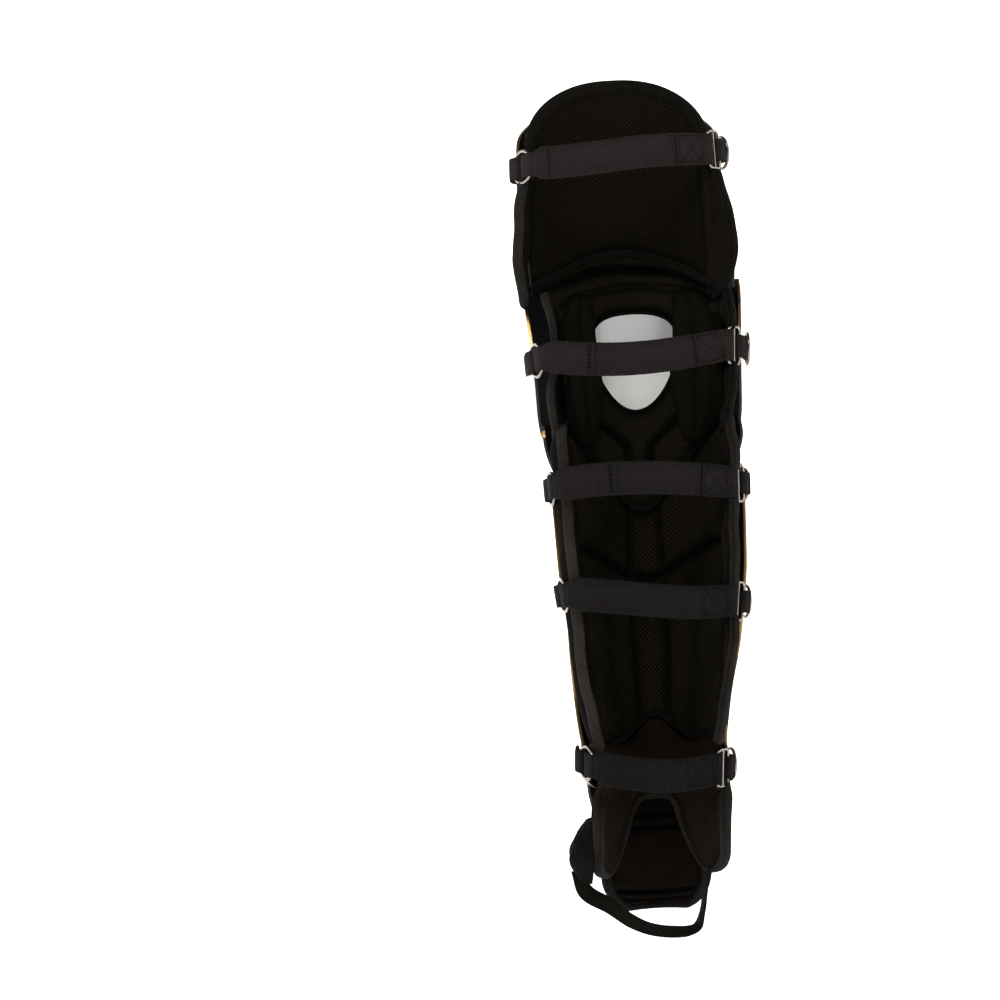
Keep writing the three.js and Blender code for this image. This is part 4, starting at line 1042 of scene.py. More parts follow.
# %% Ankle pad
ANKLE_SIDE, SIDE_AT_STRAP, ANKLE_ARC, LOBE_ARC = 1.24, 0.76, 64.8, 62.0


def ankle_shares(first, side):
    """Shares across the ankle pad, closer together where the cutout is steep."""
    half = np.unique(np.concatenate([np.linspace(first, 0.5, 60), np.linspace(0, side, 80)]))
    return np.concatenate([-half[::-1], half[1:]])


columns = ankle_shares(0.27, ANKLE_SIDE)
low = ankle_edge(columns)
high = shin_bottom(columns) - 1.0 - 2 * smooth(0.8, 0.95, np.abs(columns))
b = crowded(71)
z = mix(low[None] + 1.5, high[None], b[:, None])
share = np.broadcast_to(columns[None], z.shape)


def drawn_in(values, height):
    """Behind the lowest strap the ankle pad's sides end sooner."""
    return values * mix(SIDE_AT_STRAP, 1.0, smooth(-338, -372, height))


share = drawn_in(share, z)
cutout = near_path(np.abs(share) * ANKLE_ARC, z, ANKLE_EDGE * (ANKLE_ARC, 1.0))
edge = np.minimum(cutout, high[None] - z + 3)
edge = np.minimum(edge, (ANKLE_SIDE + 0.02 - np.abs(share)) * LOBE_ARC)
wave = 0.35 * np.sin(z / 5.2 + 1.5 * np.sin(share * 5)) * smooth(-325, -345, z)
near = -puff(edge - 3, 1.8, 12) + wave + ripple(share, z, 14, 24, 0.7) * smooth(2, 10, edge)
near += 1.5 * smooth(6, 1, edge)
far = ANKLE_PAD - 2.2 * smooth(9, 0, edge)
# Its top corners are thin where they go in behind the shin plate.
far = np.maximum(far - 5.0 * smooth(-338, -318, z) * smooth(0.5, 0.75, np.abs(share)), near + 2.0)
near_points = soft(share, z, near)
ankle_pad = paint(slab("ankle pad", near_points, soft(share, z, far)), "ankle knit")
# Painted shade along the bound cutout.
store_painted_shade(ankle_pad, near_points, 0.75 * smooth(9, 3, cutout))
s = ankle_shares(0.3, ANKLE_SIDE - 0.02)
up_left = np.linspace(ankle_edge(ANKLE_SIDE) + 60, ankle_edge(ANKLE_SIDE) + 2, 30)
path_share = np.concatenate([np.full(30, -ANKLE_SIDE + 0.02), s, np.full(30, ANKLE_SIDE - 0.02)])
path_z = np.concatenate([up_left, ankle_edge(s) + 2.6, up_left[::-1]])
ankle_tape = binding(
    "ankle tape", drawn_in(path_share, path_z), path_z, 3.6, 6.5, 9.0, "knee tape", step=2.0)
ankle_pad = join("ankle pad", [ankle_pad, ankle_tape])
finish_piece(ankle_pad, None, "ankle_pad")

# %% Toe pad
TOE_INNER, TOE_FOOT = ANKLE_PAD + 0.4, -453.0
# Part of the height from the foot up, and share of the half width there.
TOE_ROWS = np.array([(0, 0.4), (0.04, 0.6), (0.12, 0.78), (0.25, 0.9), (0.4, 0.91), (0.6, 0.82),
                     (1, 0.68)])
b = crowded(81)
height = mix(TOE_FOOT + 3.0, -TOE_TOP, b)
half_width = (TOE_HALF - 3.0) * through(TOE_ROWS[:, 0], TOE_ROWS[:, 1], b)
x = np.linspace(-1, 1, 71)[None] * half_width[:, None]
z = np.broadcast_to(height[:, None], x.shape)
share = share_at(x, z, TOE_INNER)
edge = np.minimum(half_width[:, None] - np.abs(x), z - TOE_FOOT - 3)


def bar(height_, bend, width, depth):
    """A groove sewn across the toe, bent upwards at its ends."""
    return groove(np.abs(z - height_ - bend * x ** 2), width, depth)


bars = (bar(-370, 0.004, 2.2, 3.0) + bar(-380, 0.004, 2.2, 3.0)) * smooth(24, 20, np.abs(x))
foot_bar = bar(-436, 0.006, 2.2, 3.0) + bar(-443, 0.006, 1.6, 2.0)
near = TOE_INNER + 2.0 - puff(edge - 1, 3.2, 12) + bars + foot_bar * smooth(32, 26, np.abs(x))
near += ripple(share, z, 17, 20, 0.5) * smooth(2, 8, edge)
far = TOE_INNER + TOE_PAD - 1.5 * smooth(6, 0, edge)
near_points = at_height(share, z, near)
toe_pad = paint(slab("toe pad", near_points, at_height(share, z, far)), "toe knit")
# Painted shade in the sewn bars and round the rim.
dark = np.minimum(1, (bars + foot_bar) / 3.0) * smooth(32, 26, np.abs(x))
store_painted_shade(toe_pad, near_points, np.maximum(dark, 0.6 * smooth(7, 2, edge)))
t = np.linspace(0.02, 1, 60)
line_half = (TOE_HALF - 2.5) * through(TOE_ROWS[:, 0], TOE_ROWS[:, 1], t)
line_z = mix(TOE_FOOT + 3.0, -TOE_TOP, t)
foot_x = np.linspace(-line_half[0], line_half[0], 24)
edge_x = np.concatenate([-line_half[::-1], foot_x[1:-1], line_half])
edge_z = np.concatenate([line_z[::-1], np.full(22, line_z[0]), line_z])
toe_tape = binding("toe tape", share_at(edge_x, edge_z, TOE_INNER), edge_z, TOE_INNER + 3.6,
                   6.5, 8.0, "dark tape", put=at_height)
toe_pad = join("toe pad", [toe_pad, toe_tape])
finish_piece(toe_pad, None, "toe_pad")
print("ankle and toe pads made")

# %% [markdown]
# A wing closes the gap between each plate's edge and the calf or thigh. It starts at the
# pad's edge, at the share start, and flares outwards as it runs back. rows give the
# share that its rear edge reaches at parts of its height, and splay how far out that
# edge stands at each height. width and tape are those of its binding. The straps come
# first, because they press the outer wings forwards.

# %% Side wings
# The straps' heights at the ring and at the hook, the plate that they hang on, how far
# they bow out and sag, the hook's play, how far round the outer ply reaches, how far the
# tabs stand off their plate, and the ring's lean in degrees.
STRAPS = [
    dict(z_in=151, z_out=159, shell="thigh_shell", bow=26, sag=-1.5, slack=2, fold=0.08, stand=1.3, lean=35),
    dict(z_in=-1, z_out=4, shell="knee_cap", bow=26, sag=9.5, slack=2, fold=0.27, stand=0.7, lean=19),
    dict(z_in=-102, z_out=-104, shell="shin_shell", bow=20, sag=-2, slack=2, fold=0.34, stand=0.5, lean=17),
    dict(z_in=-185, z_out=-197, shell="shin_shell", bow=20, sag=5.5, slack=2, fold=0.82, stand=0.6, lean=17),
    dict(z_in=-312, z_out=-325, shell="shin_shell", bow=18, sag=4, slack=2, fold=0.9, stand=1.3, lean=26),
]
PRESS, PRESS_HEIGHT, LEAST_REACH = 0.2, 17.0, 0.035
WINGS = {
    "thigh_wing_left": dict(
        side=-1, bottom=46, top=160, start=0.92, tape="knee tape", width=8.5, curl=0.55,
        rows=[(0, 0.9), (0.04, 0.98), (0.1, 1.06), (0.3, 1.18), (0.6, 1.15), (0.85, 1.04), (1, 0.92)],
        splay=[(46, 1), (60, 4), (80, 7), (104, 6), (125, 5), (160, 2)]),
    "thigh_wing_right": dict(
        side=1, bottom=46, top=166, start=0.86, tape="dark tape", width=8.0,
        rows=[(0, 0.86), (0.04, 0.98), (0.1, 1.07), (0.3, 1.16), (0.6, 1.1), (0.85, 0.98), (1, 0.88)],
        splay=[(46, 5), (60, 11), (80, 14), (104, 12), (140, 6), (170, 0)]),
    "knee_wing_left": dict(
        side=-1, bottom=-58, top=50, start=0.88, tape="knee tape", width=6.0, curl=0.4,
        rows=[(0, 0.96), (0.12, 1.14), (0.4, 1.26), (0.7, 1.25), (0.9, 1.13), (1, 0.97)],
        splay=[(-58, 8), (-31, 11), (-10, 6.5), (15, 2), (40, 3), (54, 5)]),
    "knee_wing_right": dict(
        side=1, bottom=-60, top=48, start=0.9, tape="dark tape", width=7.5,
        rows=[(0, 0.96), (0.12, 1.06), (0.4, 1.1), (0.7, 1.1), (0.9, 1.06), (1, 0.97)],
        splay=[(-60, 0), (-40, 3), (-23, 6), (17, 6), (40, 3), (48, 1)]),
    "shin_wing_left": dict(
        side=-1, bottom=-303, top=-54, start=0.88, tape="wing tape", width=8.5, curl=0.75,
        rows=[(0, 1.14), (0.15, 1.22), (0.4, 1.27), (0.75, 1.28), (0.9, 1.24), (0.97, 1.12), (1, 0.95)],
        splay=[(-303, 7), (-269, 11), (-210, 12), (-142, 12), (-90, 12), (-72, 11), (-54, 5)]),
    "shin_wing_right": dict(
        side=1, bottom=-303, top=-54, start=0.88, tape="knee tape", width=8.0,
        rows=[(0, 1.04), (0.15, 1.1), (0.4, 1.12), (0.75, 1.12), (0.9, 1.1), (0.97, 1.04), (1, 0.95)],
        splay=[(-303, -4), (-275, -2), (-212, 3), (-149, 3.5), (-90, 5), (-74, 5), (-54, 3)]),
}


def wing(node, side, bottom, top, start, tape, width, rows, splay, curl=0.0):
    rows, splay = np.array(rows, float), np.array(splay, float)
    b = crowded(91)
    z = mix(bottom, top, b)
    rear = through(rows[:, 0], rows[:, 1], b)
    if side > 0:
        # The straps press the outer wings forwards where they pass over them.
        pressed = sum(np.exp(-((z - strap["z_out"]) / PRESS_HEIGHT) ** 4) for strap in STRAPS)
        rear = np.maximum(rear - PRESS * pressed, np.minimum(rear, start + LEAST_REACH))
    out = through(splay[:, 0], splay[:, 1], z)
    a = np.linspace(0, 1, 25)
    share = mix(start, rear[:, None], a[None])
    z = np.broadcast_to(z[:, None], share.shape)
    swell = 1.2 * np.sin(math.pi * a[None]) * np.sin(math.pi * b[:, None])
    # An inner wing curls back towards the leg, so that its tape faces the wearer.
    lift = np.sin(0.5 * math.pi * (1 + curl) * a[None]) if curl else a[None] ** 1.4
    near = 0.5 + out[:, None] * lift - swell + ripple(share * side, z, 400 + side + bottom, 40, 0.9)
    thick = mix(3.2, 4.6, a[None])
    share = share * side
    order = slice(None, None, side)
    put = thigh if node.startswith("thigh") else soft
    name = node.replace("_", " ")
    body = slab(name, put(share, z, near)[:, order], put(share, z, near + thick)[:, order])
    paint(body, "wing cloth")
    # The tape runs along the foot, up the rear edge and along the top.
    edges = [np.concatenate([grid[0, 6:], grid[1:-1, -1], grid[-1, ::-1][:-6]])
             for grid in (share, z, near + thick / 2)]
    tape_piece = binding(node + " tape", *edges, 9.0, width, tape, stitch=(-side,), put=put)
    piece = join(name, [body, tape_piece])
    finish_piece(piece, None, node)


for node, sizes in WINGS.items():
    wing(node, **sizes)
print("wings made")

# %% [markdown]
# The plates are smooth moulded shells, three millimetres thick with rounded rims. They
# lap over each other down the front of the leg, each on its own level. Outside and rims
# are gold and the inside is lined, but the knee cap is pale where the hole shows it.

# %% Plates
SHELL_THICKNESS, SHELL_GAP, LAP_GAP = 3.0, 1.3, 1.3
PLATE_SHIFT, KNEE_SHIFT, FOOT_SHIFT = 9.0, 3.0, 5.5
STRAP_WIDTH = 26.0


def plate(top, bottom, level, rows, crown=0, ridge=0, flare=0, flare_low=0, tuck=0):
    """A plate's sizes. rows hold parts of its height and the share reached there."""
    return dict(top=top, bottom=bottom, level=level, rows=np.array(rows, float), crown=crown,
                ridge=ridge, flare=flare, flare_low=flare_low, tuck=tuck)


SHELLS = {
    "thigh_shell": plate(
        0.88 * THIGH_RISE, 0.4 * THIGH_RISE, 0.4, flare=-4,
        rows=[(0, 0.86), (0.25, 0.87), (0.5, 0.93), (0.62, 0.95), (0.8, 0.86), (1, 0.55)]),
    "knee_cap_upper": plate(
        0.47 * THIGH_RISE, 0.235 * THIGH_RISE, 1.5, flare=-8.5,
        rows=[(0, 0.88), (0.5, 0.9), (0.85, 0.84), (1, 0.72)]),
    "knee_cap": plate(
        0.27 * THIGH_RISE, -0.15 * TOE_DROP, 2.65, crown=9, flare=-8,
        rows=[(0, 0.55), (0.12, 0.76), (0.5, 0.97), (0.88, 0.88), (1, 0.8)]),
    "knee_cap_lower": plate(
        -0.11 * TOE_DROP, -0.235 * TOE_DROP, 1, ridge=2,
        rows=[(0, 0.5), (0.2, 0.62), (0.7, 0.86), (1, 0.84)]),
    "shin_shell": plate(
        -0.19 * TOE_DROP, -TOE_TOP + 3 * SHELL_GAP, 0, ridge=2, flare=2, tuck=3.5,
        rows=[(0, 0.6), (0.05, 0.88), (0.11, 0.93), (0.2, 0.89), (0.32, 0.85), (0.45, 0.89),
              (0.57, 0.94), (0.9, 0.94), (0.97, 0.9), (1, 0.8)]),
    "toe_shell": plate(
        -0.785 * TOE_DROP, -0.97 * TOE_DROP, 0.8, ridge=2, flare=2, flare_low=2,
        rows=[(0, 0.3), (0.12, 0.42), (0.5, 0.46), (1, 0.36)]),
    "ankle_shell": plate(
        -TOE_TOP + STRAP_WIDTH, -1.1 * TOE_TOP, 2.1, flare=2,
        rows=[(0, 0.35), (0.3, 0.48), (0.75, 0.52), (1, 0.4)]),
}


def plate_place(share, z, offset):
    """The plates follow the pads towards the inner side above the knee and at the ankle."""
    points = place(share, z, offset)
    height = points[..., 2].copy()
    above = (PLATE_SHIFT - KNEE_SHIFT) * smooth(70, 130, height)
    points[..., 0] -= KNEE_SHIFT * smooth(-90, 0, height) + above
    points[..., 0] -= FOOT_SHIFT * smooth(-200, -300, height)
    return points


def shell_part(sizes, z):
    return (z - sizes["bottom"]) / (sizes["top"] - sizes["bottom"])


def shell_inner(sizes, share, z):
    """How far a plate's inner face stands off the leg's surface."""
    share, z = np.broadcast_arrays(np.asarray(share, float), np.asarray(z, float))
    part = np.clip(shell_part(sizes, z), 0, 1)
    base = PAD_THICKNESS + SHELL_GAP + sizes["level"] * (SHELL_THICKNESS + LAP_GAP)
    round_ = sizes["crown"] * np.sin(math.pi * part) * (1 - smooth(0.1, 0.95, np.abs(share)))
    spine = sizes["ridge"] * (1 - smooth(0.06, 0.2, np.abs(share)))
    flare = mix(sizes["flare_low"], sizes["flare"], smooth(-320, -230, z))
    # Low on the shin the plate is drawn in behind its wings.
    tuck = sizes["tuck"] * smooth(-160, -215, z) * smooth(-322, -300, z)
    return base + round_ + spine + (flare - tuck) * smooth(0.6, 1, np.abs(share))


def shell_share(sizes, z):
    return through(sizes["rows"][:, 0], sizes["rows"][:, 1], shell_part(sizes, z))


# The knee cap is pale within this half width and height, in metres.
PALE_HALF, PALE_RISE = 0.048, 0.052
PALE, GOLD, LINED = 0, 1, 2
for node, sizes in SHELLS.items():
    height = mix(sizes["bottom"], sizes["top"], crowded(81))
    share = np.linspace(-1, 1, 121)[None] * shell_share(sizes, height)[:, None]
    z = np.broadcast_to(height[:, None], share.shape)
    inner = shell_inner(sizes, share, z)
    edge = np.minimum(z - sizes["bottom"], sizes["top"] - z)
    edge = np.minimum(edge, (shell_share(sizes, z) - np.abs(share)) * ARC)
    # A slight roll at the rim and a shallow step inside it, as moulded plates have.
    step = 0.7 * smooth(6, 9, edge) * (1.0 if sizes["crown"] == 0 else 0.6)
    outer = inner + SHELL_THICKNESS - 0.7 + step
    piece = slab(node.replace("_", " "), plate_place(share, z, inner), plate_place(share, z, outer))
    centres = np.array([p.center[:] for p in piece.data.polygons])
    normals = np.array([p.normal[:] for p in piece.data.polygons])
    facing = np.sum(normals * unit(centres * (1, 1, 0) - np.array([0, -0.03, 0])), axis=-1)
    pale = np.hypot(centres[:, 0] / PALE_HALF, centres[:, 2] / PALE_RISE) < 1
    inside = np.where(pale & (node == "knee_cap"), PALE, LINED)
    material_index = np.where(facing < -0.2, inside, GOLD).astype(np.int32)
    for name in ("pale plate", "gold plate", "lining"):
        piece.data.materials.append(MATERIALS[name])
    piece.data.polygons.foreach_set("material_index", material_index)
    bevel = piece.modifiers.new("rounded rim", "BEVEL")
    bevel.width = 0.9 * MM
    bevel.segments = 3
    bevel.limit_method = "ANGLE"
    bevel.angle_limit = math.radians(60)
    bpy.context.view_layer.objects.active = piece
    bpy.ops.object.modifier_apply(modifier="rounded rim")
    finish_piece(piece, None, node)
print("plates:", len(SHELLS))

# %% [markdown]
# Each strap starts at a ring on the inner side and ends at a wire hook on the outer
# side. A short tab holds each of these to its plate. At the ring the strap doubles back
# on itself; at the hook it is sewn down with a crossed box. A domed button with a ring
# round it sits on the plate where the hook would catch.

# %% Bands of webbing
PLY_GAP, RING_WIRE, RING_RADIUS = 0.4, 2.8, 12.4
TAB_WIDTH, TAB_LENGTH, TAB_THICKNESS, WIRE_CLEARANCE = 17.6, 30.0, 1.4, 0.6
STRAP_THICKNESS, STRAP_END_WIDTH, SEWN_LENGTH, SEWN_WIDTH = 1.8, 19.0, 24.0, 25.2
HOOK_HEIGHT, HOOK_LENGTH, HOOK_WIRE, HOOK_CORNER, BAR_WIRE = 31.6, 13.0, 2.2, 3.0, 1.8
LOOP_RISE, RING_SIDES, BEND_LENGTH = 2.0, 11, 2.5
STRAP_TURN = math.radians(52)
UP = np.array([0.0, 0.0, 1.0])


def turned(vector, axis, angle):
    axis = axis / np.linalg.norm(axis)
    return (vector * math.cos(angle) + np.cross(axis, vector) * math.sin(angle)
            + axis * np.dot(axis, vector) * (1 - math.cos(angle)))


def band(name, steps, ply, material="webbing", spacing=1.0):
    """A band through steps of (point, direction across, width), as one smooth sweep."""
    at = np.array([step[0] for step in steps], float)
    rise = unit(np.array([step[1] for step in steps], float))
    wide = np.array([step[2] for step in steps], float)
    length = along_lengths(at, 0)
    fine = np.linspace(0, length[-1], max(8, int(length[-1] / spacing)))
    path = np.stack([through(length, at[:, k], fine) for k in range(3)], axis=-1)
    rise = unit(np.stack([np.interp(fine, length, rise[:, k]) for k in range(3)], axis=-1))
    wide = np.interp(fine, length, wide)
    run = unit(np.gradient(path, axis=0))
    side = unit(rise - run * np.sum(run * rise, axis=-1, keepdims=True))
    normal = np.cross(run, side)
    profile = rounded_profile(1.0, ply, 16, 0.45)
    scale = np.stack([wide, np.ones_like(wide)], axis=-1)
    piece = sweep(name, path, side, normal, profile, scale=scale)
    piece.data.materials.append(MATERIALS[material])
    return piece


def ring_reach(width, ply):
    inside = RING_RADIUS * math.cos(math.pi / RING_SIDES) - RING_WIRE / 2 - WIRE_CLEARANCE
    return RING_RADIUS - (math.sqrt(inside ** 2 - (width / 2) ** 2) - ply / 2)


def loop_stand(thickness, ply):
    return thickness / 2 + WIRE_CLEARANCE + ply / 2 + LOOP_RISE


def loop_steps(wire, toward, out, up, thickness, ply, width, reach=None):
    half, flat = thickness / 2 + WIRE_CLEARANCE + ply / 2, (ply + PLY_GAP) / 2
    far = half if reach is None else reach
    rows = [(-half - LOOP_RISE, flat), (-0.6 * half, 1.02 * half), (far - 0.6 * half, 1.02 * half),
            (far, 0.45 * half)]
    rows += [(along, -aside) for along, aside in reversed(rows)]
    return [(wire + toward * along + out * aside, up, width) for along, aside in rows]


class Fitting:
    """Where a tab leaves its plate: the place, the way up, back and out."""

    def __init__(self, strap, side, lean):
        self.sizes, self.side, self.stand = SHELLS[strap["shell"]], side, strap["stand"]
        self.z = strap["z_in"] if side < 0 else strap["z_out"]
        self.edge = float(shell_share(self.sizes, self.z))
        self.start = self.lay(self.edge, self.z, 0)
        self.up = unit(self.lay(self.edge, self.z + 8, 0) - self.lay(self.edge, self.z - 8, 0))
        rear = unit(self.start - self.lay(self.edge - 0.04, self.z, 0))
        rear = turned(rear, self.up, math.radians(-side * lean))
        self.rear = unit(rear - self.up * np.dot(rear, self.up))
        self.out = unit(np.cross(self.up, self.rear) * side)

    def lay(self, share, z, lift):
        offset = shell_inner(self.sizes, share, z) + SHELL_THICKNESS
        offset = offset + TAB_THICKNESS + PLY_GAP / 2 + self.stand * SHELL_GAP + lift
        return plate_place(self.side * share, z, offset)


def tab(name, fitting, wire, thickness, reach=None):
    """A short tab from the plate, round the wire and back."""
    tenth = fitting.lay(fitting.edge, fitting.z, 0) - fitting.lay(fitting.edge - 0.1, fitting.z, 0)
    step = 0.1 * TAB_LENGTH / np.linalg.norm(tenth) / 3
    flat = (TAB_THICKNESS + PLY_GAP) / 2

    def on_plate(lift, count):
        rows = []
        for k in range(count):
            share = fitting.edge - k * step
            rise = fitting.lay(share, fitting.z + 8, lift) - fitting.lay(share, fitting.z - 8, lift)
            rows.append((fitting.lay(share, fitting.z, lift), rise, TAB_WIDTH))
        return rows

    steps = on_plate(flat, 4)[::-1]
    steps += loop_steps(wire, fitting.rear, fitting.out, fitting.up, thickness, TAB_THICKNESS,
                        TAB_WIDTH, reach)
    steps += on_plate(-flat, 3)
    kept = [step for k, step in enumerate(steps)
            if k == 0 or np.linalg.norm(step[0] - steps[k - 1][0]) > TAB_THICKNESS]
    return band(name, kept, TAB_THICKNESS, spacing=0.9)


# %% Rings, hooks and buttons
def basis(x, y, z, at):
    matrix = Matrix.Identity(4)
    for column, axis in enumerate((x, y, z)):
        for row in range(3):
            matrix[row][column] = float(axis[row])
    for row in range(3):
        matrix[row][3] = float(at[row]) * MM
    return matrix


def torus(name, at, out, up):
    bpy.ops.object.select_all(action="DESELECT")
    bpy.ops.mesh.primitive_torus_add(major_radius=RING_RADIUS * MM, minor_radius=RING_WIRE / 2 * MM,
                                     major_segments=72, minor_segments=20)
    piece = bpy.context.object
    piece.name = name
    piece.data.name = name
    bpy.ops.object.shade_smooth()
    piece.data.transform(basis(np.cross(up, out), up, out, at))
    piece.data.uv_layers[0].name = "cloth"
    return piece


def wire_frame(name, at, out, up):
    """A rounded rectangle of round wire with a bar across its middle."""
    x, y, radius = HOOK_LENGTH / 2 - HOOK_WIRE / 2, HOOK_HEIGHT / 2 - HOOK_WIRE / 2, HOOK_CORNER
    points = []
    for cx, cy, turn in ((x, y, 0), (-x, y, 90), (-x, -y, 180), (x, -y, 270)):
        for angle in np.radians(np.linspace(turn, turn + 90, 9)):
            points.append((cx - math.copysign(radius, cx) + radius * math.cos(angle),
                           cy - math.copysign(radius, cy) + radius * math.sin(angle)))
    closed_points = np.array(points + points[:1])
    length = along_lengths(closed_points, 0)
    fine = np.linspace(0, length[-1], 160, endpoint=False)
    flat = np.stack([np.interp(fine, length, closed_points[:, k]) for k in range(2)], axis=-1)
    right = np.cross(up, out)
    path = at + flat[:, :1] * right + flat[:, 1:] * up
    normal = np.broadcast_to(out, path.shape)
    side, normal = frames_along(path, normal, True)
    frame_piece = sweep(name, path, side, normal, rounded_profile(HOOK_WIRE, HOOK_WIRE, 16, 1.0), True)
    # The slide's own bar stands free between the two loops of webbing.
    bar = at + np.linspace(-y, y, 24)[:, None] * up
    across_bar = np.broadcast_to(right, bar.shape)
    middle = sweep(name + " bar", bar, across_bar, np.broadcast_to(out, bar.shape),
                   rounded_profile(BAR_WIRE, BAR_WIRE, 14, 1.0))
    return join(name, [frame_piece, middle])


def button(name, at, out, up):
    """A low dome over a thin flange, turned about its own axis."""
    profile = np.array([(0.0, 4.1), (1.6, 4.0), (3.2, 3.6), (4.8, 2.9), (6.0, 2.0), (6.7, 1.2),
                        (6.9, 0.9), (7.4, 0.8), (7.6, 0.5), (7.5, 0.0), (4.0, 0.0), (0.0, 0.0)])
    turns = np.linspace(0, 2 * math.pi, 49)
    radius, height = profile[:, 0], profile[:, 1]
    right = np.cross(up, out)
    spoke = np.cos(turns)[None, :, None] * right + np.sin(turns)[None, :, None] * up
    points = at + radius[:, None, None] * spoke + height[:, None, None] * out
    uv = np.stack(np.broadcast_arrays(turns[None] * 5, height[:, None] + radius[:, None]), axis=-1)
    faces = grid_faces(48, len(profile) - 1)
    piece = mesh_object(name, points.reshape(-1, 3), faces, uv.reshape(-1, 2))
    return closed(piece)


# %% [markdown]
# The strap's middle line is a curve that leaves the ring, turns in behind the leg, sags
# a little and reaches the hook from the other side. Its plies lie on either side of it.

# %% Straps
HOOK_LEAN, HOOK_TURN, BUTTON_PART = 56.0, -0.3, 0.16


class Route:
    """The strap's middle line, measured along its own length from 0 to 1."""

    def __init__(self, left, bend, free, out_left, out_right, right):
        t = np.linspace(0, 1, 400)[:, None]
        first = (1 - t) ** 2 * left + 2 * t * (1 - t) * bend + t * t * free
        second = ((1 - t) ** 3 * free + 3 * t * (1 - t) ** 2 * out_left
                  + 3 * t * t * (1 - t) * out_right + t ** 3 * right)
        self.line = np.concatenate([first, second[1:]])
        self.far = along_lengths(self.line, 0)
        self.length = self.far[-1]

    def at(self, t):
        return np.array([np.interp(t * self.length, self.far, self.line[:, k]) for k in range(3)])

    def tangent(self, t):
        return unit(self.at(min(1, t + 0.004)) - self.at(max(0, t - 0.004)))


def strap_steps(strap, number):
    inner = Fitting(strap, -1, strap["lean"])
    outer = Fitting(strap, 1, HOOK_LEAN)
    front_wire = inner.start + inner.rear * loop_stand(RING_WIRE, TAB_THICKNESS)
    ring_centre = front_wire + inner.rear * RING_RADIUS
    rear_wire = ring_centre + inner.rear * RING_RADIUS
    front_bar = outer.start + outer.rear * (loop_stand(HOOK_WIRE, TAB_THICKNESS) + strap["slack"])
    rear_bar = front_bar + outer.rear * (HOOK_LENGTH - HOOK_WIRE)

    ring = torus(f"inner ring {number}", ring_centre, inner.out, inner.up)
    finish_piece(ring, MATERIALS["nickel"], f"ring_inner_{number}")
    piece = tab(f"inner tab {number}", inner, front_wire, RING_WIRE, ring_reach(TAB_WIDTH, TAB_THICKNESS))
    finish_piece(piece, None, f"tab_inner_{number}")
    hook = wire_frame(f"hook {number}", (front_bar + rear_bar) / 2, outer.out, outer.up)
    finish_piece(hook, MATERIALS["nickel"], f"hook_{number}")
    piece = tab(f"outer tab {number}", outer, front_bar, HOOK_WIRE)
    finish_piece(piece, None, f"tab_outer_{number}")

    seat = outer.edge - BUTTON_PART
    seat_at = outer.lay(seat, outer.z, TAB_THICKNESS + PLY_GAP)
    seat_up = unit(outer.lay(seat, outer.z + 5, 0) - outer.lay(seat, outer.z - 5, 0))
    seat_along = outer.lay(seat + 0.05, outer.z, 0) - outer.lay(seat - 0.05, outer.z, 0)
    seat_out = unit(np.cross(seat_up, seat_along))
    dome = button(f"button {number}", seat_at, seat_out, seat_up)
    finish_piece(dome, MATERIALS["dark nickel"], f"button_{number}")
    ring = torus(f"outer ring {number}", seat_at + seat_out * RING_WIRE / 2, seat_out, seat_up)
    finish_piece(ring, MATERIALS["nickel"], f"ring_outer_{number}")

    away_left = turned(inner.rear, inner.up, STRAP_TURN)
    away_right = turned(outer.rear, outer.up, HOOK_TURN * STRAP_TURN)
    left = rear_wire + inner.rear * loop_stand(RING_WIRE, STRAP_THICKNESS)
    right = rear_bar + away_right * loop_stand(HOOK_WIRE, STRAP_THICKNESS)
    handle = strap["bow"] / (0.75 * math.cos(STRAP_TURN))
    drop = UP * (-strap["sag"] / 0.75)
    bend = left + inner.rear * BEND_LENGTH
    free = bend + away_left * BEND_LENGTH
    route = Route(left, bend, free, free + away_left * handle + drop,
                  right + away_right * handle + drop, right)

    def step_at(t, lift):
        ends = inner.up * (1 - smooth(0, 0.15, t)) + outer.up * smooth(0.85, 1, t)
        ends = ends + UP * smooth(0, 0.15, t) * (1 - smooth(0.85, 1, t))
        rear = unit(np.cross(route.tangent(t), UP))
        full = mix(STRAP_WIDTH, SEWN_WIDTH, smooth(0.9, 0.98, t))
        return (route.at(t) + rear * lift, ends, mix(STRAP_END_WIDTH, full, smooth(0, 0.045, t)))

    def ply(start, end, count, lift):
        return [step_at(mix(start, end, k / (count - 1)), lift) for k in range(count)]

    flat = (STRAP_THICKNESS + PLY_GAP) / 2
    out_right = -unit(np.cross(away_right, UP))
    sewn = SEWN_LENGTH / route.length
    steps = ply(strap["fold"], 0.01, 3 + round(14 * strap["fold"]), flat)
    steps += loop_steps(rear_wire, -inner.rear, inner.out, inner.up, RING_WIRE, STRAP_THICKNESS,
                        STRAP_END_WIDTH, ring_reach(STRAP_END_WIDTH, STRAP_THICKNESS))
    steps += ply(0.01, 0.99, 24, -flat)
    steps += loop_steps(rear_bar, -away_right, out_right, outer.up, HOOK_WIRE, STRAP_THICKNESS,
                        SEWN_WIDTH)[::-1]
    steps += ply(0.99, 1 - sewn, 3, flat)
    return steps, step_at, sewn, flat


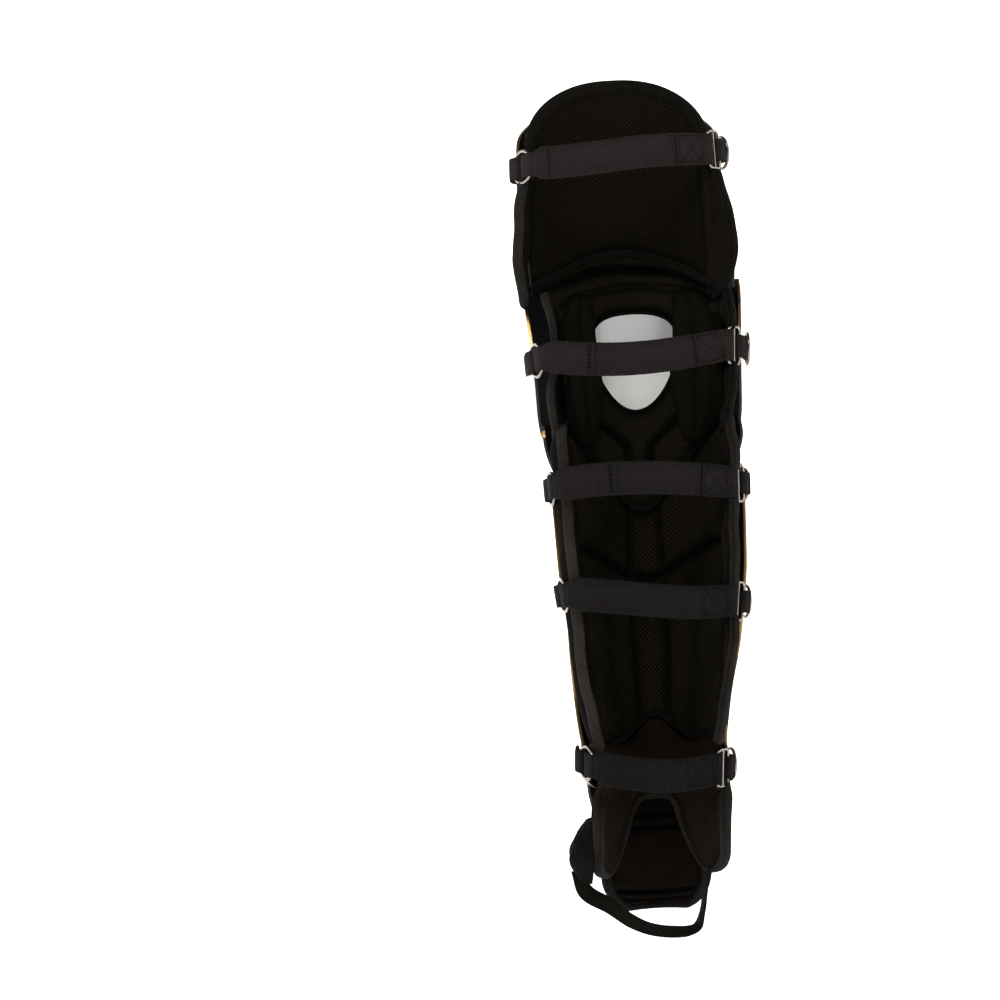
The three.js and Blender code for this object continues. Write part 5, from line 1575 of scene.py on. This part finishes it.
def sewn_box(name, step_at, start, end, lift, width):
    """A box of stitches with a cross in it, on the outer ply."""
    parts = []
    low, high = -width / 2 + 2.4, width / 2 - 2.4
    a, b, c, d = (start, low), (start, high), (end, low), (end, high)
    for (t0, h0), (t1, h1) in ((a, b), (c, d), (a, c), (b, d), (a, d), (b, c)):
        path, normal = [], []
        for k in np.linspace(0, 1, 24):
            at, up, _ = step_at(mix(t0, t1, k), lift)
            ahead, _, _ = step_at(mix(t0, t1, k) + 0.004, lift)
            run = unit(ahead - at)
            up = unit(up - run * np.dot(run, up))
            path.append(at + up * mix(h0, h1, k))
            normal.append(np.cross(run, up))
        path, normal = np.array(path), np.array(normal)
        side = np.cross(normal, unit(np.gradient(path, axis=0)))
        parts.append(stitches(name, path, side, normal, BOX_LENGTH, BOX_GAP, BOX_RISE, "box thread"))
    return join(name, parts)


for number, strap in enumerate(STRAPS, 1):
    steps, step_at, sewn, flat = strap_steps(strap, number)
    webbing = band(f"strap {number}", steps, STRAP_THICKNESS)
    top = flat + STRAP_THICKNESS / 2
    box = sewn_box("box", step_at, 1 - sewn + 0.012, 0.985, top, SEWN_WIDTH)
    fold = strap["fold"]
    row = sewn_box("row", step_at, fold - 0.035, fold - 0.02, top, STRAP_WIDTH) if 0.1 < fold < 0.5 else None
    webbing = join(f"strap {number}", [part for part in (webbing, box, row) if part])
    finish_piece(webbing, None, f"strap_{number}")
print("straps:", len(STRAPS))

# %% [markdown]
# The foot strap comes out of a soft pocket on the inner side of the ankle, hangs in a
# loop under the foot and is sewn to the other side of the ankle pad.

# %% Foot strap and its pocket
POCKET_TOP, POCKET_BOTTOM, POCKET_BULGE = 362.0, 413.0, 15.0
POCKET_INNER = ANKLE_PAD + 0.6
# Part of the height from below, the shares where it begins and ends, and its bulge.
POCKET_ROWS = np.array([(0, 0.86, 1.02, 0.72), (0.3, 0.78, 1.12, 1), (0.65, 0.76, 1.16, 0.9),
                        (1, 0.82, 1.14, 0.35)])
a, b = crowded(41), crowded(51)
low, high, bulge = (through(POCKET_ROWS[:, 0], POCKET_ROWS[:, k], b)[:, None] for k in (1, 2, 3))
share = mix(low, high, a[None])
z = np.broadcast_to(mix(-POCKET_BOTTOM, -POCKET_TOP, b)[:, None], share.shape)
crease = np.abs(np.sin(z / 9.0 + share * 11)) ** 0.5 + 0.6 * np.abs(np.sin(z / 5.0 - share * 17)) ** 0.5
dent = 2.2 * crease * np.sin(math.pi * a[None]) * np.sin(math.pi * b[:, None]) - 2.0
outer = POCKET_INNER + 0.6 + POCKET_BULGE * np.sin(math.pi * a[None]) ** 0.55 * bulge + dent
inner = np.full(outer.shape, POCKET_INNER)
pocket = slab("foot strap pocket", soft(-share, z, inner), soft(-share, z, outer))
finish_piece(paint(pocket, "pocket cloth"), None, "stirrup_pocket")

STIRRUP_WIDTH, STIRRUP_THICKNESS, STIRRUP_DROP = 20.0, 1.6, 459.0
left = soft(-0.94, -POCKET_BOTTOM - 1, POCKET_INNER + 0.5 * POCKET_BULGE)
lobe = soft(0.66, -ANKLE_LOBE_DROP - 3, 4.5)
# Each row is a point's x and z, its depth as a part of the way from the pocket to the
# lobe, and how far in degrees the strap's width is turned there.
rows = [(left[0] - 1, left[2] + 12, 0.0, 42), (left[0] + 3, left[2] - 6, 0.0, 36),
        (-1.15 * ANKLE_HALF, -433.0, 0.1, 32), (-0.75 * ANKLE_HALF, -446.0, 0.25, 26),
        (-0.3 * ANKLE_HALF, -455.0, 0.45, 20), (0.25 * ANKLE_HALF, -STIRRUP_DROP, 0.7, 18),
        (0.58 * ANKLE_HALF, -456.5, 0.85, 12), (0.72 * ANKLE_HALF, -446.0, 0.95, 5),
        (0.8 * ANKLE_HALF, -430.0, 1.0, 5), (0.86 * ANKLE_HALF, -413.0, 1.0, 5),
        (0.88 * ANKLE_HALF, -404.0, 1.0, 5)]
rows = [((x_, mix(left[1], lobe[1], part), z_), twist) for x_, z_, part, twist in rows]
steps = []
for k, (at, twist) in enumerate(rows):
    at = np.array(at, float)
    before, after = rows[max(0, k - 1)][0], rows[min(len(rows) - 1, k + 1)][0]
    run = unit(np.array(after, float) - np.array(before, float))
    wide = turned(np.array([0.0, 1.0, 0.0]), run, math.radians(twist))
    steps.append((at, wide, STIRRUP_WIDTH))
foot_strap = band("foot strap", steps, STIRRUP_THICKNESS, "foot webbing")
finish_piece(foot_strap, None, "stirrup_strap")

# %% [markdown]
# The photograph is a cut-out on pure white. Here a white floor runs up into white walls
# behind and beside the guard. They are far off, so that every side can be looked at.

# %% Floor and backdrop
FLOOR_Z, ROOM, ROOM_HEIGHT, COVE = -0.475, 9.0, 8.0, 0.5
cove_turn = np.linspace(0, math.pi / 2, 17)
sweep_line = [(-ROOM, FLOOR_Z)]
sweep_line += [(ROOM - COVE + COVE * math.sin(a_), FLOOR_Z + COVE - COVE * math.cos(a_))
               for a_ in cove_turn]
sweep_line += [(ROOM, ROOM_HEIGHT)]
points = [(x_ / MM, y_ / MM, z_ / MM) for y_, z_ in sweep_line for x_ in (-ROOM, ROOM)]
faces = grid_faces(1, len(sweep_line) - 1)
# The two side walls.
for x_ in (-ROOM, ROOM):
    base = len(points)
    points += [(x_ / MM, y_ / MM, z_ / MM) for y_, z_ in
               ((-ROOM, FLOOR_Z), (ROOM, FLOOR_Z), (ROOM, ROOM_HEIGHT), (-ROOM, ROOM_HEIGHT))]
    quad = (base, base + 1, base + 2, base + 3)
    faces.append(quad if x_ < 0 else quad[::-1])
backdrop = mesh_object("backdrop", points, faces, [(p[0], p[1]) for p in points])
backdrop_material, tree, shader = new_material("lit backdrop")
shader.inputs["Base Color"].default_value = rgb(0.9, 0.9, 0.9)
shader.inputs["Roughness"].default_value = 0.95
shader.inputs["Emission Color"].default_value = rgb(1.0, 1.0, 1.0)
shader.inputs["Emission Strength"].default_value = 1.0
backdrop.data.materials.append(backdrop_material)

# %% Lights
def panel(name, at, target, size, power):
    light = bpy.data.lights.new(name, "AREA")
    light.shape = "RECTANGLE"
    light.size, light.size_y = size
    light.energy = power
    lamp = bpy.data.objects.new(name, light)
    bpy.context.scene.collection.objects.link(lamp)
    at, target = Vector(at), Vector(target)
    aim = (target - at).to_track_quat("-Z", "Y").to_matrix().to_4x4()
    lamp.matrix_world = Matrix.Translation(at) @ aim


panel("key", (-0.35, -1.05, 1.1), (0, 0, -0.05), (0.8, 0.5), 15)
panel("fill", (0.9, -1.9, 0.3), (0, 0, -0.1), (0.6, 1.0), 3)
world = bpy.data.worlds.new("studio")
world.use_nodes = True
world.node_tree.nodes["Background"].inputs["Color"].default_value = rgb(1.0, 1.0, 1.0)
world.node_tree.nodes["Background"].inputs["Strength"].default_value = 0.14
bpy.context.scene.world = world
bpy.context.scene.view_settings.view_transform = "Standard"
bpy.context.scene.view_settings.look = "None"
print("lights and backdrop set")
